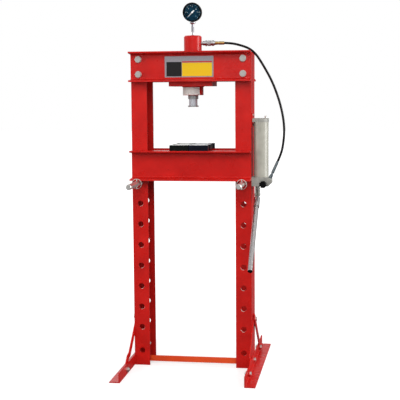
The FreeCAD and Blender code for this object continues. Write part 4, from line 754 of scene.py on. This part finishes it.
# %% Painted casting and enamelled tube
def cast_paint(name, dark, light, grain, strength, roughness):
    """Paint over a grainy casting: noise bump of the grain's size."""
    material, tree, place, output = new_finish(name)
    sand = add(tree, "TexNoise", {"Vector": place, "Scale": 1 / grain, "Detail": 3.0})
    cloud = add(tree, "TexNoise", {"Vector": place, "Scale": 30.0, "Detail": 2.0})
    colour = add(tree, "ValToRGB", {"Fac": cloud.outputs["Fac"]},
                 [(0.3, linear(dark)), (0.7, linear(light))])
    bump = add(tree, "Bump", {"Height": sand.outputs["Fac"], "Strength": strength,
                              "Distance": 0.0006})
    surface(tree, output, Base_Color=colour.outputs["Color"], Roughness=roughness,
            Normal=bump.outputs["Normal"])
    return material


wear(["pump_body", "reservoir_cap"],
     cast_paint("grey_paint_on_casting", "#86857f", "#9c9b94", grain=0.0015, strength=0.25,
                roughness=0.45))
wear(["reservoir_tube"],
     cast_paint("warm_grey_enamel_on_tube", "#9a988d", "#a8a69b", grain=0.004, strength=0.03,
                roughness=0.34))
print("materials so far:", len(bpy.data.materials))

# %% [markdown]
# ## Rubber, plastic, print and glass
#
# The hose's cover is extruded black rubber, a little ribbed by the braid under it. Knobs and caps
# are moulded plastic with a fine matt grain. The plate's inks are flat and slightly glossy, and
# the dial's print is quite matt, so its gloss level is 0. The lens is clear and thin, and what
# shows of it is a faint highlight. Its IOR is 1.04 and not glass's 1.5, because the truer value
# threw a pale haze over the whole dial.

# %% Rubber, plastic, inks and glass
def moulded(name, dark, light, grain, strength, roughness, gloss_level=0.5):
    """Rubber, plastic or ink: fine grain in the bump, and a gloss of the given level."""
    material, tree, place, output = new_finish(name)
    noise = add(tree, "TexNoise", {"Vector": place, "Scale": 1 / grain, "Detail": 2.0})
    colour = add(tree, "ValToRGB", {"Fac": noise.outputs["Fac"]},
                 [(0.3, linear(dark)), (0.7, linear(light))])
    bump = add(tree, "Bump", {"Height": noise.outputs["Fac"], "Strength": strength,
                              "Distance": 0.0003})
    surface(tree, output, Base_Color=colour.outputs["Color"], Roughness=roughness,
            Specular_IOR_Level=gloss_level, Normal=bump.outputs["Normal"])
    return material


FLAT = 0.02                         # bump strength of a print, next to none
wear(["rubber_hose", "piston_seal"],
     moulded("extruded_black_rubber", "#060607", "#0e0e0f", 0.0012, 0.3, 0.40, 0.22))
wear(["release_knob", "handle_cap", "gauge_case", "gauge_bezel"],
     moulded("moulded_black_plastic", "#050506", "#0a0a0b", 0.0008, 0.15, 0.42, 0.10))
wear(["gauge_dial"],
     moulded("dark_blue_dial_print", "#122d3d", "#173748", 0.002, FLAT, 0.5, 0.0))
wear(["gauge_needle"],
     moulded("white_needle_lacquer", "#dcdfdf", "#e6e8e8", 0.001, FLAT, 0.5))
wear(["dial_long_marks", "dial_short_marks"] + ["dial_number_" + text for text in DIAL_NUMBERS],
     moulded("pale_dial_ink", "#a9b8bc", "#b6c4c8", 0.001, FLAT, 0.5))
for piece, ink, dark, light in (("plate_black_field", "black_screen_ink", "#131314", "#1a1a1b"),
                                ("plate_red_strip", "red_screen_ink", "#b0161e", "#bd1c24"),
                                ("plate_yellow_field", "yellow_screen_ink", "#dab516",
                                 "#e2be1e")):
    wear([piece], moulded(ink, dark, light, 0.002, FLAT, 0.4, 0.3))
wear(["ring_film"], moulded("pale_plastic_film", "#cbc6c1", "#d6d1cc", 0.002, FLAT, 0.35, 0.4))
wear(["label_plate"], metal("anodised_aluminium_sheet", "#b0adb4", "#bebbc1", 0.40, 0.05))

glass, tree, place, output = new_finish("clear_gauge_glass")
surface(tree, output, Base_Color=WHITE, Roughness=0.02, IOR=1.04, Transmission_Weight=1.0)
wear(["gauge_lens"], glass)
print("materials:", len(bpy.data.materials))

# %% [markdown]
# ## Floor, background and light
#
# The photograph has a white ground with soft daylight from the right. The camera, and rays
# through glass, see a white world and a floor that grows white away from the press, with the
# press's shadow on it. Reflections see a shaded studio instead: a dark grey floor, a bright
# front, a bright patch at the back left, and little else, because reflections of plain white made
# the red look pink where it is seen at a slant. Rays that only light the press get a dim even
# world and a grey floor, so that the white ground throws no extra light on it.

# %% Floor
FLOOR_REACH, FLOOR_HEIGHT = 30, -0.0005
floor = piece_from_faces("studio_floor",
                         [(x * FLOOR_REACH, y * FLOOR_REACH, FLOOR_HEIGHT)
                          for x, y in ((-1, -1), (1, -1), (1, 1), (-1, 1))],
                         [[0, 1, 2, 3]], "press_frame", "label_metal")
floor.parent = None
paper, tree, place, output = new_finish("white_paper_floor")
rays = add(tree, "LightPath").outputs
seen = add(tree, "Math", {0: rays["Is Camera Ray"], 1: rays["Is Glossy Ray"]},
           operation="MAXIMUM")
shown = add(tree, "Math", {0: seen.outputs[0], 1: rays["Is Transmission Ray"]},
            operation="MAXIMUM")
away = add(tree, "VectorMath", {0: place}, operation="LENGTH")
sweep = add(tree, "MapRange", {"Value": away.outputs["Value"], "From Min": 0.9, "From Max": 4.0,
                               "To Min": 0.62, "To Max": 1.0})
white = add(tree, "Mix", {MIX_SHARE: rays["Is Glossy Ray"], NUMBER_A: sweep.outputs["Result"],
                          NUMBER_B: 0.06})
bounce = add(tree, "BsdfDiffuse", {"Color": linear("#808080")})
tone = add(tree, "Mix", {MIX_SHARE: rays["Is Glossy Ray"], COLOUR_A: linear("#b4b4b4"),
                         COLOUR_B: linear("#505050")}, data_type="RGBA")
matt = add(tree, "BsdfDiffuse", {"Color": tone.outputs[MIXED_COLOUR]})
glow = add(tree, "Emission", {"Color": WHITE, "Strength": white.outputs[MIXED_NUMBER]})
lifted = add(tree, "AddShader", {0: matt.outputs[0], 1: glow.outputs[0]})
mixed = add(tree, "MixShader", {0: shown.outputs[0], 1: bounce.outputs[0],
                                2: lifted.outputs[0]})
tree.links.new(mixed.outputs[0], output.inputs["Surface"])
wear(["studio_floor"], paper)
print("floor:", 2 * FLOOR_REACH, "m square")

# %% World
FRONT_RIGHT, BACK_LEFT = (0.45, -0.89, 0.0), (-0.90, 0.43, 0.0)
SHADED, EVEN_LIGHT, PLAIN_WHITE = 0.12, 0.46, 1.0

world = bpy.data.worlds.new("studio_world")
bpy.context.scene.world = world
world.use_nodes = True
tree = world.node_tree
tree.nodes.clear()
rays = add(tree, "LightPath").outputs
direction = add(tree, "TexCoord").outputs["Generated"]
toward = add(tree, "VectorMath", {0: direction, 1: FRONT_RIGHT}, operation="DOT_PRODUCT")
in_front = add(tree, "MapRange", {"Value": toward.outputs["Value"], "From Min": -0.8,
                                  "From Max": 0.5, "To Min": SHADED, "To Max": 1.0})
behind = add(tree, "VectorMath", {0: direction, 1: BACK_LEFT}, operation="DOT_PRODUCT")
back_left = add(tree, "MapRange", {"Value": behind.outputs["Value"], "From Min": 0.38,
                                   "From Max": 0.62, "To Min": SHADED, "To Max": 0.95})
mirrored = add(tree, "Math", {0: in_front.outputs["Result"], 1: back_left.outputs["Result"]},
               operation="MAXIMUM")
lit = add(tree, "Mix", {MIX_SHARE: rays["Is Glossy Ray"], NUMBER_A: EVEN_LIGHT,
                        NUMBER_B: mirrored.outputs[0]})
plain = add(tree, "Math", {0: rays["Is Camera Ray"], 1: rays["Is Transmission Ray"]},
            operation="MAXIMUM")
strength = add(tree, "Mix", {MIX_SHARE: plain.outputs[0], NUMBER_A: lit.outputs[MIXED_NUMBER],
                             NUMBER_B: PLAIN_WHITE})
sky = add(tree, "Background", {"Color": WHITE, "Strength": strength.outputs[MIXED_NUMBER]})
add(tree, "OutputWorld", {"Surface": sky.outputs[0]})
print("world nodes:", len(tree.nodes))

# %% [markdown]
# ## Lamps
#
# One tall soft box stands on the right, as a window would, and the enamel may mirror it. The
# other three only fill: they light the press but aren't mirrored in it, so that they lay no pale
# streaks on the paint.

# %% Lamps
AIM = Vector((0.0, 0.0, 0.9))       # about the middle of the press


def lamp(name, energy, width, height, position, mirrored=False):
    """A soft box that faces the press's middle; an unmirrored one lights but isn't reflected."""
    light = bpy.data.lights.new(name, "AREA")
    light.shape, light.size, light.size_y = "RECTANGLE", width, height
    light.energy = energy
    item = bpy.data.objects.new(name, light)
    bpy.context.scene.collection.objects.link(item)
    item.location = position
    item.rotation_euler = (AIM - Vector(position)).to_track_quat("-Z", "Y").to_euler()
    item.visible_glossy = mirrored


lamp("window_right", 98, 1.0, 2.6, (3.3, -0.3, 1.6), mirrored=True)
lamp("soft_box_left", 50, 1.0, 2.4, (-3.2, -1.6, 1.6))
lamp("overhead_front", 142, 2.6, 2.6, (0.4, -4.4, 3.0))
lamp("overhead_back", 95, 2.6, 2.6, (-0.6, 4.4, 3.0))
bpy.context.scene.view_settings.view_transform = "Standard"
print("lamps:", len(bpy.data.lights))
